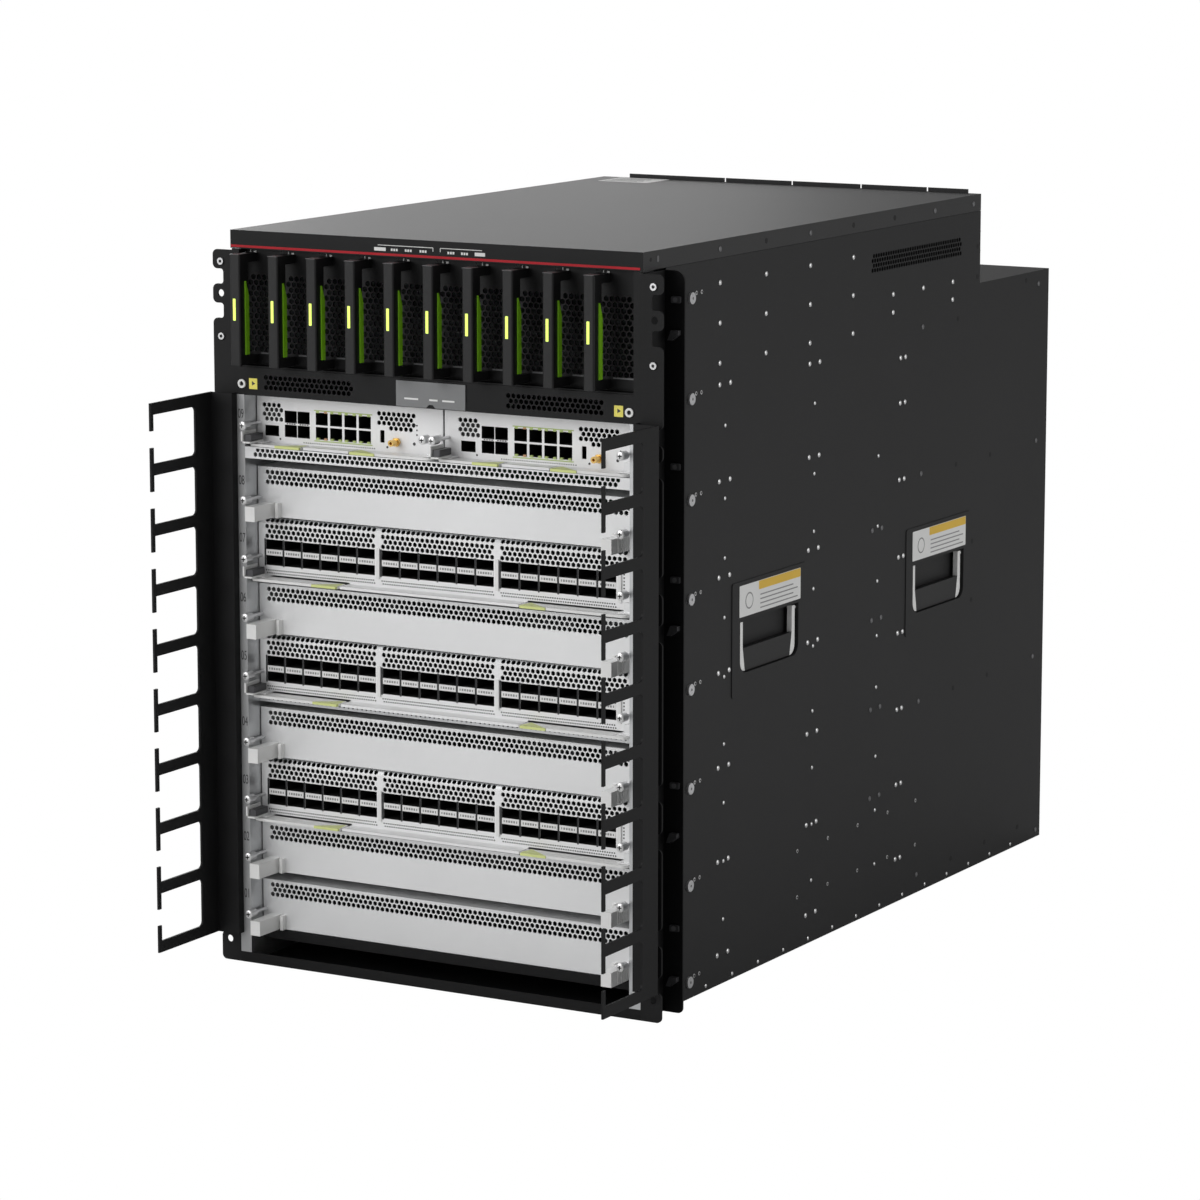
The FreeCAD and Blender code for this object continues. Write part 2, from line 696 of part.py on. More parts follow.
def comb_outline():
    """Edge of a comb's side plate: a strip with T-shaped fingers."""
    half = COMB_ARM_H / 2
    top = COMB_TOP_Z + half
    bottom = COMB_TOP_Z - (COMB_ARMS - 1) * COMB_PITCH - half
    rear = COMB_BASE_Y + COMB_SHEET
    points = [(rear, bottom), (rear, top), (-COMB_REACH, top)]
    for i in range(COMB_ARMS - 1):
        z = COMB_TOP_Z - i * COMB_PITCH
        below = z - COMB_PITCH
        points += [(-COMB_REACH, z - COMB_BAR_H / 2), (COMB_BAR_Y, z - COMB_BAR_H / 2),
                   (COMB_BAR_Y, z - half), (COMB_STRIP_Y, z - half, COMB_WINDOW_R),
                   (COMB_STRIP_Y, below + half, COMB_WINDOW_R), (COMB_BAR_Y, below + half),
                   (COMB_BAR_Y, below + COMB_BAR_H / 2), (-COMB_REACH, below + COMB_BAR_H / 2)]
    return points + [(-COMB_REACH, bottom)]


def cable_comb(name, sign):
    """Cable comb: a folded channel on the ear, with the fingers on its outer side."""
    side = plate("x", comb_outline(), RACK_HALF - COMB_SHEET, COMB_SHEET)
    low = COMB_TOP_Z - (COMB_ARMS - 1) * COMB_PITCH - COMB_ARM_H / 2
    z = (low, COMB_TOP_Z + COMB_ARM_H / 2)
    web = block((COMB_INNER, RACK_HALF), (COMB_BASE_Y, COMB_BASE_Y + COMB_SHEET), z)
    foot = block((COMB_INNER, COMB_INNER + COMB_SHEET), (COMB_BASE_Y, 0), z)
    comb = fuse([side, web, foot])
    save(name, [comb if sign > 0 else mirrored(comb)])


def panel_screws():
    """Large side screws and the ear screws, heads and shanks."""
    right = []
    for z in SIDE_SCREW_Z:
        head = rod("x", (SIDE_SCREW_Y, z), SIDE_SCREW_R, HALF_W, SIDE_SCREW_HEAD)
        shank = rod("x", (SIDE_SCREW_Y, z), SHANK_R, HALF_W - 2 * SHEET, 2 * SHEET)
        right.append(fuse([head, shank]))
    for z in EAR_SCREW_Z:
        head = rod("y", (EAR_SCREW_X, z), EAR_SCREW_R, -EAR_SCREW_HEAD, EAR_SCREW_HEAD)
        shank = rod("y", (EAR_SCREW_X, z), EAR_SHANK_R, 0, EAR_SHEET)
        right.append(fuse([head, shank]))
    save("panel_screws", right + [mirrored(screw) for screw in right])


def captive_screw(x, z):
    """Thumbscrew in front of a card's face."""
    length = SCREW_KNOB_BACK - SCREW_KNOB_FRONT
    knob = plate("y", polygon(x, z, SCREW_KNOB_R, KNOB_SIDES), SCREW_KNOB_FRONT, length)
    stem = plate("y", polygon(x, z, SCREW_STEM_R, STEM_SIDES), SCREW_KNOB_BACK, FACE_Y - SCREW_KNOB_BACK)
    return [knob, stem]


def filler_panel():
    """Blank panel with a perforated band, folded edges, two white grips and captive screws."""
    low = PANEL_RISE
    high = FILLER_H
    holes = hex_rows((-HEX_EDGE, HEX_EDGE), FILLER_HEX_ROWS, HEX_PITCH, HEX_ACROSS)
    pieces = [plate("y", rect((-CARD_HALF, CARD_HALF), (low, high)), FACE_Y, THIN, holes)]
    across = (-CARD_HALF, CARD_HALF)
    depth = (FACE_Y, FACE_Y + FILLER_DEPTH)
    floor_z = THIN + GAP
    pieces.append(block(across, depth, (floor_z, floor_z + THIN)))
    pieces.append(block(across, depth, (high - THIN, high)))
    for sign in (-1, 1):
        grip_z = (low, low + GRIP_H)
        pieces.append(block(both((CARD_HALF - THIN, CARD_HALF), sign), depth, (floor_z, high)))
        pieces.append(block(both((GRIP_IN, GRIP_OUT), sign), (GRIP_FRONT, FACE_Y), grip_z))
        pieces.append(block(both(GRIP_POST, sign), (FACE_Y - GRIP_POST_D, FACE_Y), grip_z))
        pieces += captive_screw(sign * SCREW_X, SCREW_Z)
    return checked([fuse(pieces)])


def lever_outline(pivot_x, end_x):
    """Flat lever from its boss to its inner end."""
    toward = 1 if end_x > pivot_x else -1
    outer = pivot_x - toward * LEVER_BOSS_R
    return [(outer, LEVER_FRONT, LEVER_ROUND), (end_x, LEVER_FRONT, LEVER_CORNER),
            (end_x, LEVER_BACK, LEVER_CORNER), (outer, LEVER_BACK, LEVER_ROUND)]


def ejector_lever(pivot_x, end_x, top):
    """Long flat lever under a card's face, with a thicker coloured tab at its free end."""
    bore = [(pivot_x, LEVER_PIVOT_Y, LEVER_PIN_R + PIN_CLEARANCE)]
    bar = plate("z", lever_outline(pivot_x, end_x), top - LEVER_H, LEVER_H, rounds=bore)
    toward = 1 if end_x > pivot_x else -1
    x = tuple(sorted((end_x - toward * TAB_L, end_x - toward * TAB_LEAD)))
    tab = block(x, (LEVER_FRONT - TAB_LEAD, LEVER_FRONT - TAB_LEAD + TAB_D), (top - LEVER_H, top))
    return checked([fuse([bar, tab])])


def lever_bracket(pivot_x, top):
    """Bracket over a lever's boss with the pin that carries it."""
    x = (pivot_x - LEVER_BOSS_R, pivot_x + LEVER_BOSS_R)
    shelf = block(x, (LEVER_PIVOT_Y - LEVER_BRACKET_D, FACE_Y + THIN), (top + GAP, top + GAP + THIN))
    pin = rod("z", (pivot_x, LEVER_PIVOT_Y), LEVER_PIN_R, top - LEVER_H, LEVER_H + GAP + THIN)
    return [shelf, pin]


def lever_sill(ends, top):
    """Ledge between the free ends of two levers."""
    x = (ends[0] + SILL_INSET, ends[1] - SILL_INSET)
    return block(x, (LEVER_FRONT + SILL_INSET, FACE_Y + THIN), (top - LEVER_H, top))


def heatsink(x, y, z):
    """Finned block that stands on a board."""
    base = block(x, y, (z, z + SINK_BASE))
    step = (x[1] - x[0] - THIN) / (SINK_FINS - 1)
    starts = [x[0] + step * i for i in range(SINK_FINS)]
    fins = [block((start, start + THIN), y, (z, z + SINK_H)) for start in starts]
    return [base] + fins


def card_tray(x, back, floor_z, wall_h, sinks):
    """Tray of a card: floor, two sides, board on its stand-offs, heatsinks and rear plugs."""
    board_z = floor_z + THIN + STAND_OFF_H
    board_top = board_z + CARD_BOARD_T
    front = FACE_Y + CARD_BOARD_FRONT
    pieces = [block(x, (FACE_Y, back), (floor_z, floor_z + THIN))]
    pieces += [block((edge, edge + THIN), (FACE_Y, back), (floor_z, floor_z + wall_h))
               for edge in (x[0], x[1] - THIN)]
    pieces.append(block((x[0] + STAND_OFF_W, x[1] - STAND_OFF_W), (front, back), (board_z, board_top)))
    for sx in (x[0] + 2 * STAND_OFF_W, (x[0] + x[1]) / 2, x[1] - 3 * STAND_OFF_W):
        for sy in (front + STAND_OFF_W, back - 2 * STAND_OFF_W):
            pieces.append(block((sx, sx + STAND_OFF_W), (sy, sy + STAND_OFF_W), (floor_z + THIN, board_z)))
    for sink_x, sink_y in sinks:
        pieces += heatsink(sink_x, sink_y, board_top)
    step = (x[1] - x[0]) / (PLUGS + 1)
    half = step * PLUG_SHARE / 2
    for i in range(1, PLUGS + 1):
        middle = x[0] + step * i
        plug_x = (middle - half, middle + half)
        pieces.append(block(plug_x, (back - PLUG_D, back), (board_top, board_top + SINK_H)))
    return pieces


def port_holes():
    """Openings of a line card's cages, group by group."""
    holes = []
    for group in range(PORT_GROUPS):
        for column in range(PORT_COLUMNS):
            left = PORT_LEFT + GROUP_PITCH * group + PORT_PITCH * column + (PORT_PITCH - PORT_W) / 2
            holes += [rect((left, left + PORT_W), (row, row + PORT_H)) for row in PORT_ROWS]
    return holes


def line_card():
    """Line card: perforated face with leaning hood, two rows of cages, tray and lever brackets."""
    holes = port_holes()
    group_w = PORT_PITCH * PORT_COLUMNS
    hood_holes = []
    for group in range(PORT_GROUPS):
        left = PORT_LEFT + GROUP_PITCH * group
        right = left + group_w if group < PORT_GROUPS - 1 else HEX_EDGE
        holes += hex_rows((left, right), LINE_HEX_ROWS, HEX_PITCH, HEX_ACROSS)
        hood_holes += hex_rows((left, right), [LINE_H + HOOD_RUN / 2], HEX_PITCH, HEX_ACROSS)
    face = plate("y", rect((-CARD_HALF, CARD_HALF), (PANEL_RISE, LINE_H)), FACE_Y, THIN, holes)
    hood_edge = rect((-CARD_HALF, CARD_HALF), (LINE_H, LINE_H + HOOD_RUN))
    hood = plate("y", hood_edge, FACE_Y, THIN, hood_holes)
    hood.rotate(V(0, FACE_Y, LINE_H), V(1, 0, 0), -HOOD_LEAN)
    pieces = [face, hood]
    for group in range(PORT_GROUPS):
        left = PORT_LEFT + GROUP_PITCH * group
        mine = [h for h in port_holes() if left < h[0][0] < left + group_w]
        rim = rect((left, left + group_w), (CAGE_LOW, CAGE_HIGH))
        pieces.append(plate("y", rim, FACE_Y + THIN, PORT_DEPTH, mine))
        pieces.append(plate("y", rim, FACE_Y + THIN + PORT_DEPTH, THIN))
    sinks = [((x, x + SINK_W), SINK_Y) for x in LINE_SINKS]
    x = (-CARD_HALF + GAP, CARD_HALF - GAP)
    pieces += card_tray(x, CARD_BACK, THIN + GAP, TRAY_WALL, sinks)
    for pivot in (-LEVER_PIVOT_X, LEVER_PIVOT_X):
        pieces += lever_bracket(pivot, LINE_LEVER_TOP)
        pieces += captive_screw(math.copysign(SCREW_X, pivot), SCREW_Z)
    pieces.append(lever_sill(LINE_LEVER_ENDS, LINE_LEVER_TOP))
    apron = (LINE_LEVER_ENDS[0] + SILL_INSET, LINE_LEVER_ENDS[1] - SILL_INSET)
    pieces.append(block(apron, (FACE_Y, FACE_Y + THIN), (LINE_LEVER_TOP - LEVER_H, CAGE_LOW)))
    return checked([fuse(pieces)])


def jack_holes(left, group):
    """Openings of one group of jacks, two rows high."""
    pitch_x, pitch_z = group["pitch"]
    w, h = group["size"]
    holes = []
    for column in range(group["columns"]):
        x = left + group["start"] + pitch_x * column
        holes += [rect((x, x + w), (z, z + h)) for z in (JACK_LOW, JACK_LOW + pitch_z)]
    return holes


def shifted(limits, left):
    """Limits counted from a module's start, put in place."""
    return limits[0] + left, limits[1] + left


def manager_holes(left):
    """Jack openings and vents of a management module's face."""
    jacks = jack_holes(left, CAGE_JACK) + jack_holes(left, NETWORK_JACK)
    jacks.append(rect(shifted(CONSOLE_X, left), CONSOLE_Z))
    small_rows = MANAGER_VENT_ROWS + (MANAGER_LAST_ROW,)
    vents = [rect(shifted(USB_X, left), USB_Z)]
    vents += hex_rows(shifted(SMALL_VENT, left), small_rows, HEX_PITCH, HEX_ACROSS)
    vents += hex_rows(shifted(LARGE_VENT, left), MANAGER_VENT_ROWS, HEX_PITCH, HEX_ACROSS)
    vents += hex_rows(shifted(LAST_ROW_X, left), [MANAGER_LAST_ROW], HEX_PITCH, HEX_ACROSS)
    return jacks, vents


def coax_jack(x):
    """Threaded coaxial jack with its nut."""
    nut = plate("y", polygon(x, COAX_Z, COAX_NUT_R, 6), FACE_Y - COAX_NUT_T, COAX_NUT_T)
    bore = [polygon(x, COAX_Z, COAX_HOLE_R, STEM_SIDES)]
    barrel = polygon(x, COAX_Z, COAX_R, KNOB_SIDES)
    return [nut, plate("y", barrel, FACE_Y - COAX_L, COAX_L - COAX_NUT_T, bore)]


def manager_pivots(x):
    """Places of a management module's two lever pins."""
    inset = LEVER_BOSS_R + PIVOT_CLEAR
    return x[0] + inset, x[1] - inset


def manager(x, left):
    """Half-width management module with its jacks, tray and lever brackets."""
    high = MANAGER_BASE + MANAGER_H
    jacks, vents = manager_holes(left)
    rim = rect(shifted(JACK_RIM_X, left), JACK_RIM_Z)
    cage_y = FACE_Y + THIN
    pieces = [plate("y", rect(x, (MANAGER_BASE, high)), FACE_Y, THIN, jacks + vents),
              plate("y", rim, cage_y, JACK_DEPTH, jacks),
              plate("y", rim, cage_y + JACK_DEPTH, THIN)]
    pieces += coax_jack(left + COAX_X)
    start = left + MANAGER_SINK_X
    sinks = [((start, start + SINK_W), SINK_Y)]
    pieces += card_tray((x[0] + GAP, x[1] - GAP), MANAGER_BACK, MANAGER_BASE, MANAGER_WALL, sinks)
    for pivot in manager_pivots(x):
        pieces += lever_bracket(pivot, MANAGER_LEVER_TOP)
    inner = math.copysign(MANAGER_EDGE + SCREW_KNOB_R, x[0] + x[1])
    outer = math.copysign(SCREW_X, inner)
    pieces += captive_screw(inner, MANAGER_SCREW_Z) + captive_screw(outer, MANAGER_SCREW_Z)
    pieces.append(lever_sill(shifted(MANAGER_LEVER_ENDS, left), MANAGER_LEVER_TOP))
    return checked([fuse(pieces)])


def power_module():
    """Power module: hollow case, mesh face, handle loop and release trigger."""
    x = (POWER_GAP / 2, POWER_PITCH - POWER_GAP / 2)
    z = (BAY_FLOOR + GAP, POWER_TOP)
    case = block(x, (POWER_FACE_Y + THIN, POWER_BACK), z)
    hollow = block((x[0] + THIN, x[1] - THIN), (POWER_FACE_Y, POWER_BACK - THIN),
                   (z[0] + THIN, z[1] - THIN))
    rows = [MESH_LOW + MESH_ROW * i for i in range(MESH_ROWS)]
    mesh = hex_rows((x[0] + MESH_MARGIN, x[1] - MESH_MARGIN), rows, MESH_PITCH, MESH_ACROSS)
    left = x[0] + BAR_INSET
    right = left + BAR_W
    arm_y = (BAR_BACK, POWER_FACE_Y)
    taper = TRIGGER_HIGH - TRIGGER_TAPER
    trigger = [(TRIGGER_FRONT, TRIGGER_LOW), (BAR_BACK, TRIGGER_LOW), (BAR_BACK, taper),
               (TRIGGER_FRONT + TRIGGER_T, TRIGGER_HIGH), (TRIGGER_FRONT, TRIGGER_HIGH)]
    plug_x = (x[0] + POWER_PLUG_INSET, x[1] - POWER_PLUG_INSET)
    bar = [(left, BAR_BACK), (right, BAR_BACK), (right, BAR_FRONT, BAR_ROUND), (left, BAR_FRONT, BAR_ROUND)]
    pieces = [case.cut(hollow),
              plate("y", rect(x, z), POWER_FACE_Y, THIN, mesh),
              plate("z", bar, BAR_LOW, BAR_HIGH - BAR_LOW),
              block((left, right), arm_y, (BAR_LOW, BAR_LOW + ARM_H)),
              block((left, right), arm_y, (BAR_HIGH - ARM_H, BAR_HIGH)),
              plate("x", trigger, right, TRIGGER_T),
              block(plug_x, (POWER_BACK, POWER_BACK + POWER_PLUG_D), shifted(POWER_PLUG_Z, z[0]))]
    return checked([fuse(pieces)])


def midplane_board():
    """Midplane with the sockets that the cards plug into."""
    z = (SLOT_BASE, MANAGER_BASE + MANAGER_H)
    pieces = [block((-CAGE_HALF + GAP, CAGE_HALF - GAP), (MIDPLANE_Y, MIDPLANE_Y + MIDPLANE_T), z)]
    for number in range(1, SLOT_COUNT + 1):
        low = slot_bottom(number) + SOCKET_RISE
        pieces += [block((x - SOCKET_HALF, x + SOCKET_HALF), (MIDPLANE_Y - SOCKET_D, MIDPLANE_Y),
                         (low, low + SOCKET_H)) for x in SOCKET_XS]
    save("midplane_board", [fuse(pieces)])


def fabric_boards():
    """Upright switch fabric boards plugged into the back of the midplane."""
    y = MIDPLANE_Y + MIDPLANE_T
    first = -CAGE_HALF + BOARD_INSET
    pitch = -2 * first / (BOARD_COUNT - 1)
    thick, deep, high = BOARD_CHIP
    boards = []
    for i in range(BOARD_COUNT):
        x = first + pitch * i
        pieces = [block((x, x + BOARD_T), (y, y + BOARD_DEPTH), (SLOT_BASE + BOARD_T, MANAGER_BASE))]
        pieces += [block(shifted(BOARD_PLUG_X, x), (y, y + BOARD_PLUG_D), (z, z + BOARD_PLUG_H))
                   for z in BOARD_PLUGS_Z]
        pieces += [block((x + BOARD_T, x + BOARD_T + thick), (y + deep, y + 2 * deep), (z, z + high))
                   for z in BOARD_CHIPS_Z]
        boards.append(fuse(pieces))
    save("fabric_boards", boards)


def inlet(x, y):
    """Socket of one power inlet: hood, back and three prongs."""
    half_w = INLET_W / 2
    half_h = INLET_H / 2
    inside = rect((x - half_w, x + half_w), (INLET_Z - half_h, INLET_Z + half_h))
    rim = rect((x - half_w - THIN, x + half_w + THIN), (INLET_Z - half_h - THIN, INLET_Z + half_h + THIN))
    front = y - INLET_DEPTH
    pieces = [plate("y", rim, front, INLET_DEPTH, [inside]), plate("y", rim, front - THIN, THIN)]
    for prong in PRONG_XS:
        pieces.append(block((x + prong - PRONG_HALF_W, x + prong + PRONG_HALF_W), (front, y - 2 * THIN),
                            (INLET_Z - PRONG_HALF_H, INLET_Z + PRONG_HALF_H)))
    return inside, pieces


def power_inlet_panel():
    """Back wall of the power section with ten inlets, two pairs of knobs and the lip over the lid."""
    y = POWER_D - SHEET
    inlets = [inlet(POWER_PITCH * (i + 0.5 - POWER_COUNT / 2), y) for i in range(POWER_COUNT)]
    edge = rect((-POST_EDGE + GAP, POST_EDGE - GAP), (BAY_FLOOR, BODY_H - SHEET))
    pieces = [plate("y", edge, y, SHEET, [hole for hole, _ in inlets])]
    for _, socket in inlets:
        pieces += socket
    ends = (REAR_LIP_ENDS[0],) + REAR_LIP_GAPS + (REAR_LIP_ENDS[1],)
    half = REAR_LIP_GAP_W / 2
    for start, end in zip(ends[:-1], ends[1:]):
        lip = (start + half, end - half)
        pieces.append(block(lip, (POWER_D, POWER_D + SHEET), (LID_Z, BODY_H + REAR_LIP_H)))
    for z in REAR_KNOBS_Z:
        for x in (REAR_KNOB_IN - POST_EDGE, POST_EDGE - REAR_KNOB_IN):
            pieces.append(plate("y", polygon(x, z, REAR_KNOB_R, STEM_SIDES), POWER_D, REAR_KNOB_L))
    save("power_inlet_panel", [fuse(pieces)])


def fan_guard(x):
    """Rings, spokes, motor and axle of one fan, centred on the tray's middle height."""
    y = FAN_BACK - SHEET
    reach = FAN_R + GUARD_LAP
    half_ring = GUARD_RING_W / 2
    half_spoke = GUARD_SPOKE_W / 2
    pieces = [plate("y", polygon(x, 0, r + half_ring, ROUND_SIDES), y, SHEET,
                    [polygon(x, 0, r - half_ring, ROUND_SIDES)]) for r in GUARD_RINGS]
    pieces += [block((x - reach, x + reach), (y, FAN_BACK), (-half_spoke, half_spoke)),
               block((x - half_spoke, x + half_spoke), (y, FAN_BACK), (-reach, reach)),
               plate("y", polygon(x, 0, MOTOR_R, ROUND_SIDES), FAN_BACK - MOTOR_T, MOTOR_T),
               rod("y", (x, 0), AXLE_R, FAN_BACK - MOTOR_T + AXLE_ROOT - AXLE_L, AXLE_L)]
    return pieces


def fan_tray():
    """Pull-out tray for two fans, drawn about its middle height: case, guards, axles, handles."""
    high = (FAN_BAY_STEP - SHEET) / 2 - GAP
    front = FAN_BACK - FAN_DEPTH
    depth = (front, FAN_BACK)
    across = (-CARD_HALF, CARD_HALF)
    pieces = [block(across, depth, (-high, THIN - high)), block(across, depth, (high - THIN, high))]
    openings = [polygon(s * FAN_X, 0, FAN_R, ROUND_SIDES) for s in (-1, 1)]
    for y in (front, FAN_BACK - SHEET):
        pieces.append(plate("y", rect(across, (-high, high)), y, SHEET, openings))
    grip_y = (FAN_BACK + FAN_HANDLE_D - FAN_HANDLE_T, FAN_BACK + FAN_HANDLE_D)
    half = FAN_HANDLE_HALF
    for sign in (-1, 1):
        post = both(FAN_HANDLE_X, sign)
        pieces += fan_guard(sign * FAN_X)
        pieces.append(block(both((CARD_HALF - THIN, CARD_HALF), sign), depth, (-high, high)))
        pieces.append(block(post, grip_y, (-half, half)))
        pieces += [block(post, (FAN_BACK, grip_y[1]), both((half - FAN_HANDLE_T, half), s)) for s in (-1, 1)]
        for z in (FAN_KNOB_Z - high, high - FAN_KNOB_Z):
            knob = polygon(sign * (CARD_HALF - FAN_KNOB_IN), z, FAN_KNOB_R, STEM_SIDES)
            pieces.append(plate("y", knob, FAN_BACK, FAN_KNOB_L))
    return checked([fuse(pieces)])


def fan_rotor():
    """Rotor with seven pitched blades on a hollow hub, drawn on the Y axis."""
    middle = FAN_BACK - MOTOR_T - ROTOR_GAP - ROTOR_L / 2
    bore = [(0, 0, AXLE_R + 2 * PIN_CLEARANCE)]
    hub = plate("y", polygon(0, 0, HUB_R, ROUND_SIDES), middle - ROTOR_L / 2, ROTOR_L, rounds=bore)
    chord = (-BLADE_HALF_CHORD, BLADE_HALF_CHORD)
    blades = []
    for i in range(BLADES):
        blade = block((BLADE_ROOT, ROTOR_R), chord, (-BLADE_T / 2, BLADE_T / 2))
        blade.rotate(V(0, 0, 0), V(1, 0, 0), BLADE_LEAN)
        blade.rotate(V(0, 0, 0), V(0, 1, 0), 360.0 * i / BLADES)
        blade.translate(V(0, middle, 0))
        blades.append(blade)
    return checked([fuse([hub] + blades)])


def build():
    """Make every node."""
    os.makedirs("parts", exist_ok=True)
    base_tray()
    chassis_frame()
    top_cover()
    front_bezel()
    label_card()
    for side, sign in (("left", -1), ("right", 1)):
        side_panel(f"side_panel_{side}", sign)
        rack_ear(f"rack_ear_{side}", sign)
        setback_flange(f"setback_flange_{side}", sign)
        cable_comb(f"cable_comb_{side}", sign)
        for place, y in zip(("front", "rear"), CUP_STARTS):
            lifting_handle(f"lifting_handle_{side}_{place}", y, sign)
    panel_screws()
    midplane_board()
    fabric_boards()
    power_inlet_panel()
    filler = filler_panel()
    for number in FILLER_SLOTS:
        write(f"filler_panel_{number:02d}", filler, z=slot_bottom(number))
    card = line_card()
    levers = {"left": ejector_lever(-LEVER_PIVOT_X, LINE_LEVER_ENDS[0], LINE_LEVER_TOP),
              "right": ejector_lever(LEVER_PIVOT_X, LINE_LEVER_ENDS[1], LINE_LEVER_TOP)}
    for number in LINE_SLOTS:
        write(f"line_card_{number:02d}", card, z=slot_bottom(number))
        for side, lever in levers.items():
            write(f"line_card_{number:02d}_lever_{side}", lever, z=slot_bottom(number))
    for side, x, left in (("left", (-CARD_HALF, -MANAGER_EDGE), -MANAGER_PITCH),
                          ("right", (MANAGER_EDGE, CARD_HALF), 0.0)):
        name = f"management_module_{side}"
        write(name, manager(x, left))
        for hand, pivot, end in zip(("left", "right"), manager_pivots(x), MANAGER_LEVER_ENDS):
            write(f"{name}_lever_{hand}", ejector_lever(pivot, left + end, MANAGER_LEVER_TOP))
    module = power_module()
    for index in range(POWER_COUNT):
        write(f"power_module_{index + 1:02d}", module, x=POWER_PITCH * (index - POWER_COUNT / 2))
    tray = fan_tray()
    rotor = fan_rotor()
    for index in range(FAN_TRAYS):
        middle = BASE_SHEET + FAN_BAY_STEP * (index + 0.5) - SHEET / 2
        write(f"fan_tray_{index + 1}", tray, z=middle)
        for side, x in (("left", -FAN_X), ("right", FAN_X)):
            write(f"fan_rotor_{index + 1}_{side}", rotor, x=x, z=middle)


build()
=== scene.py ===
import bmesh
import bpy
import math
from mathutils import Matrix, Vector


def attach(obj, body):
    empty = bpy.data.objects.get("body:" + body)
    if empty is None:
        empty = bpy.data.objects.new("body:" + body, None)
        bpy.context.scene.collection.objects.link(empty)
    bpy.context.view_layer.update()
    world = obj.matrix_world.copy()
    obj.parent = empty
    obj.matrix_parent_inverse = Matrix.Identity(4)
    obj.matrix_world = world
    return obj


# Looks of a modular chassis switch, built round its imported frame.
# Sizes are millimetres counted from the front plane (y = 0), the middle (x = 0) and the base (z = 0).

FRONT_Y = -384.5
HALF_W = 221.0
FACE_Y = 20.0
SLOT_BASE = 31.0
SLOT_PITCH = 56.0
MID_DIVIDER = 7.6
LINE_SLOTS = (3, 5, 7)
FILLER_SLOTS = (1, 2, 4, 6, 8)
PORT_LEFT = -199.4
PORT_PITCH = 20.6
PORT_COLUMNS = 6
GROUP_PITCH = 129.6
GROUPS = 3
POWER_PITCH = 42.2
POWER_COUNT = 10
MANAGER_PITCH = 216.3
CUP_STARTS = (184.5, 553.5)
EAR_SCREW_X = 232.0
EAR_SCREW_Z = (602.5, 673.0)
SIDE_SCREW_Y = 89.0
SIDE_SCREW_Z = (16.0, 108.0, 200.0, 293.0, 377.0, 469.0, 562.0, 654.0)
SCREW_X = 203.6
SCREW_RISE = 19.0
SCREW_FRONT = -10.0
INNER_SCREW_X = 5.1
MANAGER_SCREW_Z = 520.5
RED_LINE_Z = (687.0, 689.2)
MARK_BRACKETS = ((-57.6, 1.8, 1.8), (9.6, 54.0, 9.6))
MARK_PLATES = ((-61.6, -49.1), (46.3, 57.2))
MARK_TRIPLES = (-43.5, -28.4, -12.5, 17.3, 31.8)
LID_TOP = 703.0
HANDLE_LABEL_Z = (345.0, 375.0)
HANDLE_LABEL_Y = (-0.5, 123.5)
JACK_MARK_X = (-197.3, 196.2)
JACK_MARK_Z = (554.4, 564.6)
NUT_Z = (658.0, 507.0, 403.7, 213.7, 80.0)
HOOK_Z = (626.0, 357.0, 165.0, 30.0)
RIB_COUNT = 7
RIB_START = -4.4
RIB_PITCH = 3.3
RIB_W = 1.7
RIB_RISE = 1.6
RIB_H = 11.6
RIB_X = (197.4, 198.6)
SCREW_HEAD_R = 3.9
NUMERAL_X = -211.8
NUMERAL_Z = {1: 67.4, 2: 123.4, 3: 178.8, 4: 235.3, 5: 298.9, 6: 354.9, 7: 412.1, 8: 466.9, 9: 530.0}
NUMERAL_SIZE = 0.0138
LEVER_END_X = 206.6
LEVER_DROP = 0.6
MANAGER_GAP = 1.2
MANAGER_LEVER_TOP = 502.4
MANAGER_SIDES = (("left", -MANAGER_PITCH), ("right", 0.0))
NETWORK_START = 75.4
NETWORK_PITCH = 15.9
CAGE_START = 43.0
CAGE_PITCH = 14.4
LINE_LAMP_X = 190.7
CAMERA_PLACE = (2193.4, -3525.2, 1098.8)
CAMERA_LENS = 136.94
CAMERA_PITCH = 9.95
CAMERA_YAW = 29.77
LAMPS = (
    ("key", (-1.6, -3.2, 1.9), (0.0, -0.3, 0.35), 2.6, 62),
    ("back", (-3.6, 3.0, 1.4), (0.0, 0.0, 0.7), 1.8, 22),
    ("side", (3.4, 0.6, 1.2), (0.2, 0.0, 0.35), 2.0, 26),
    ("lid", (-2.8, 3.2, 1.3), (0.0, 0.0, 0.7), 2.4, 23),
)

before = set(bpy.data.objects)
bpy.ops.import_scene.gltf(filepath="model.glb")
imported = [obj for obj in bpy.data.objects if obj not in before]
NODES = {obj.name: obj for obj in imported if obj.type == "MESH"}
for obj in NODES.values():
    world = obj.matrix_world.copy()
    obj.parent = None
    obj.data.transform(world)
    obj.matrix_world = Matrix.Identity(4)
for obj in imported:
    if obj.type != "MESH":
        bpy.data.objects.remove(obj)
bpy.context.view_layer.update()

PLACES = {
    "x": lambda u, v, w: (w, u, v),
    "y": lambda u, v, w: (u, w, v),
    "z": lambda u, v, w: (u, v, w),
}


def metres(point):
    """A measured point in the row's frame."""
    return Vector((point[0] / 1000, (point[1] + FRONT_Y) / 1000, point[2] / 1000))


def slot_bottom(number):
    """Height of a slot's floor."""
    return SLOT_BASE + (number - 1) * SLOT_PITCH + (MID_DIVIDER if number > 4 else 0.0)


# Finishes

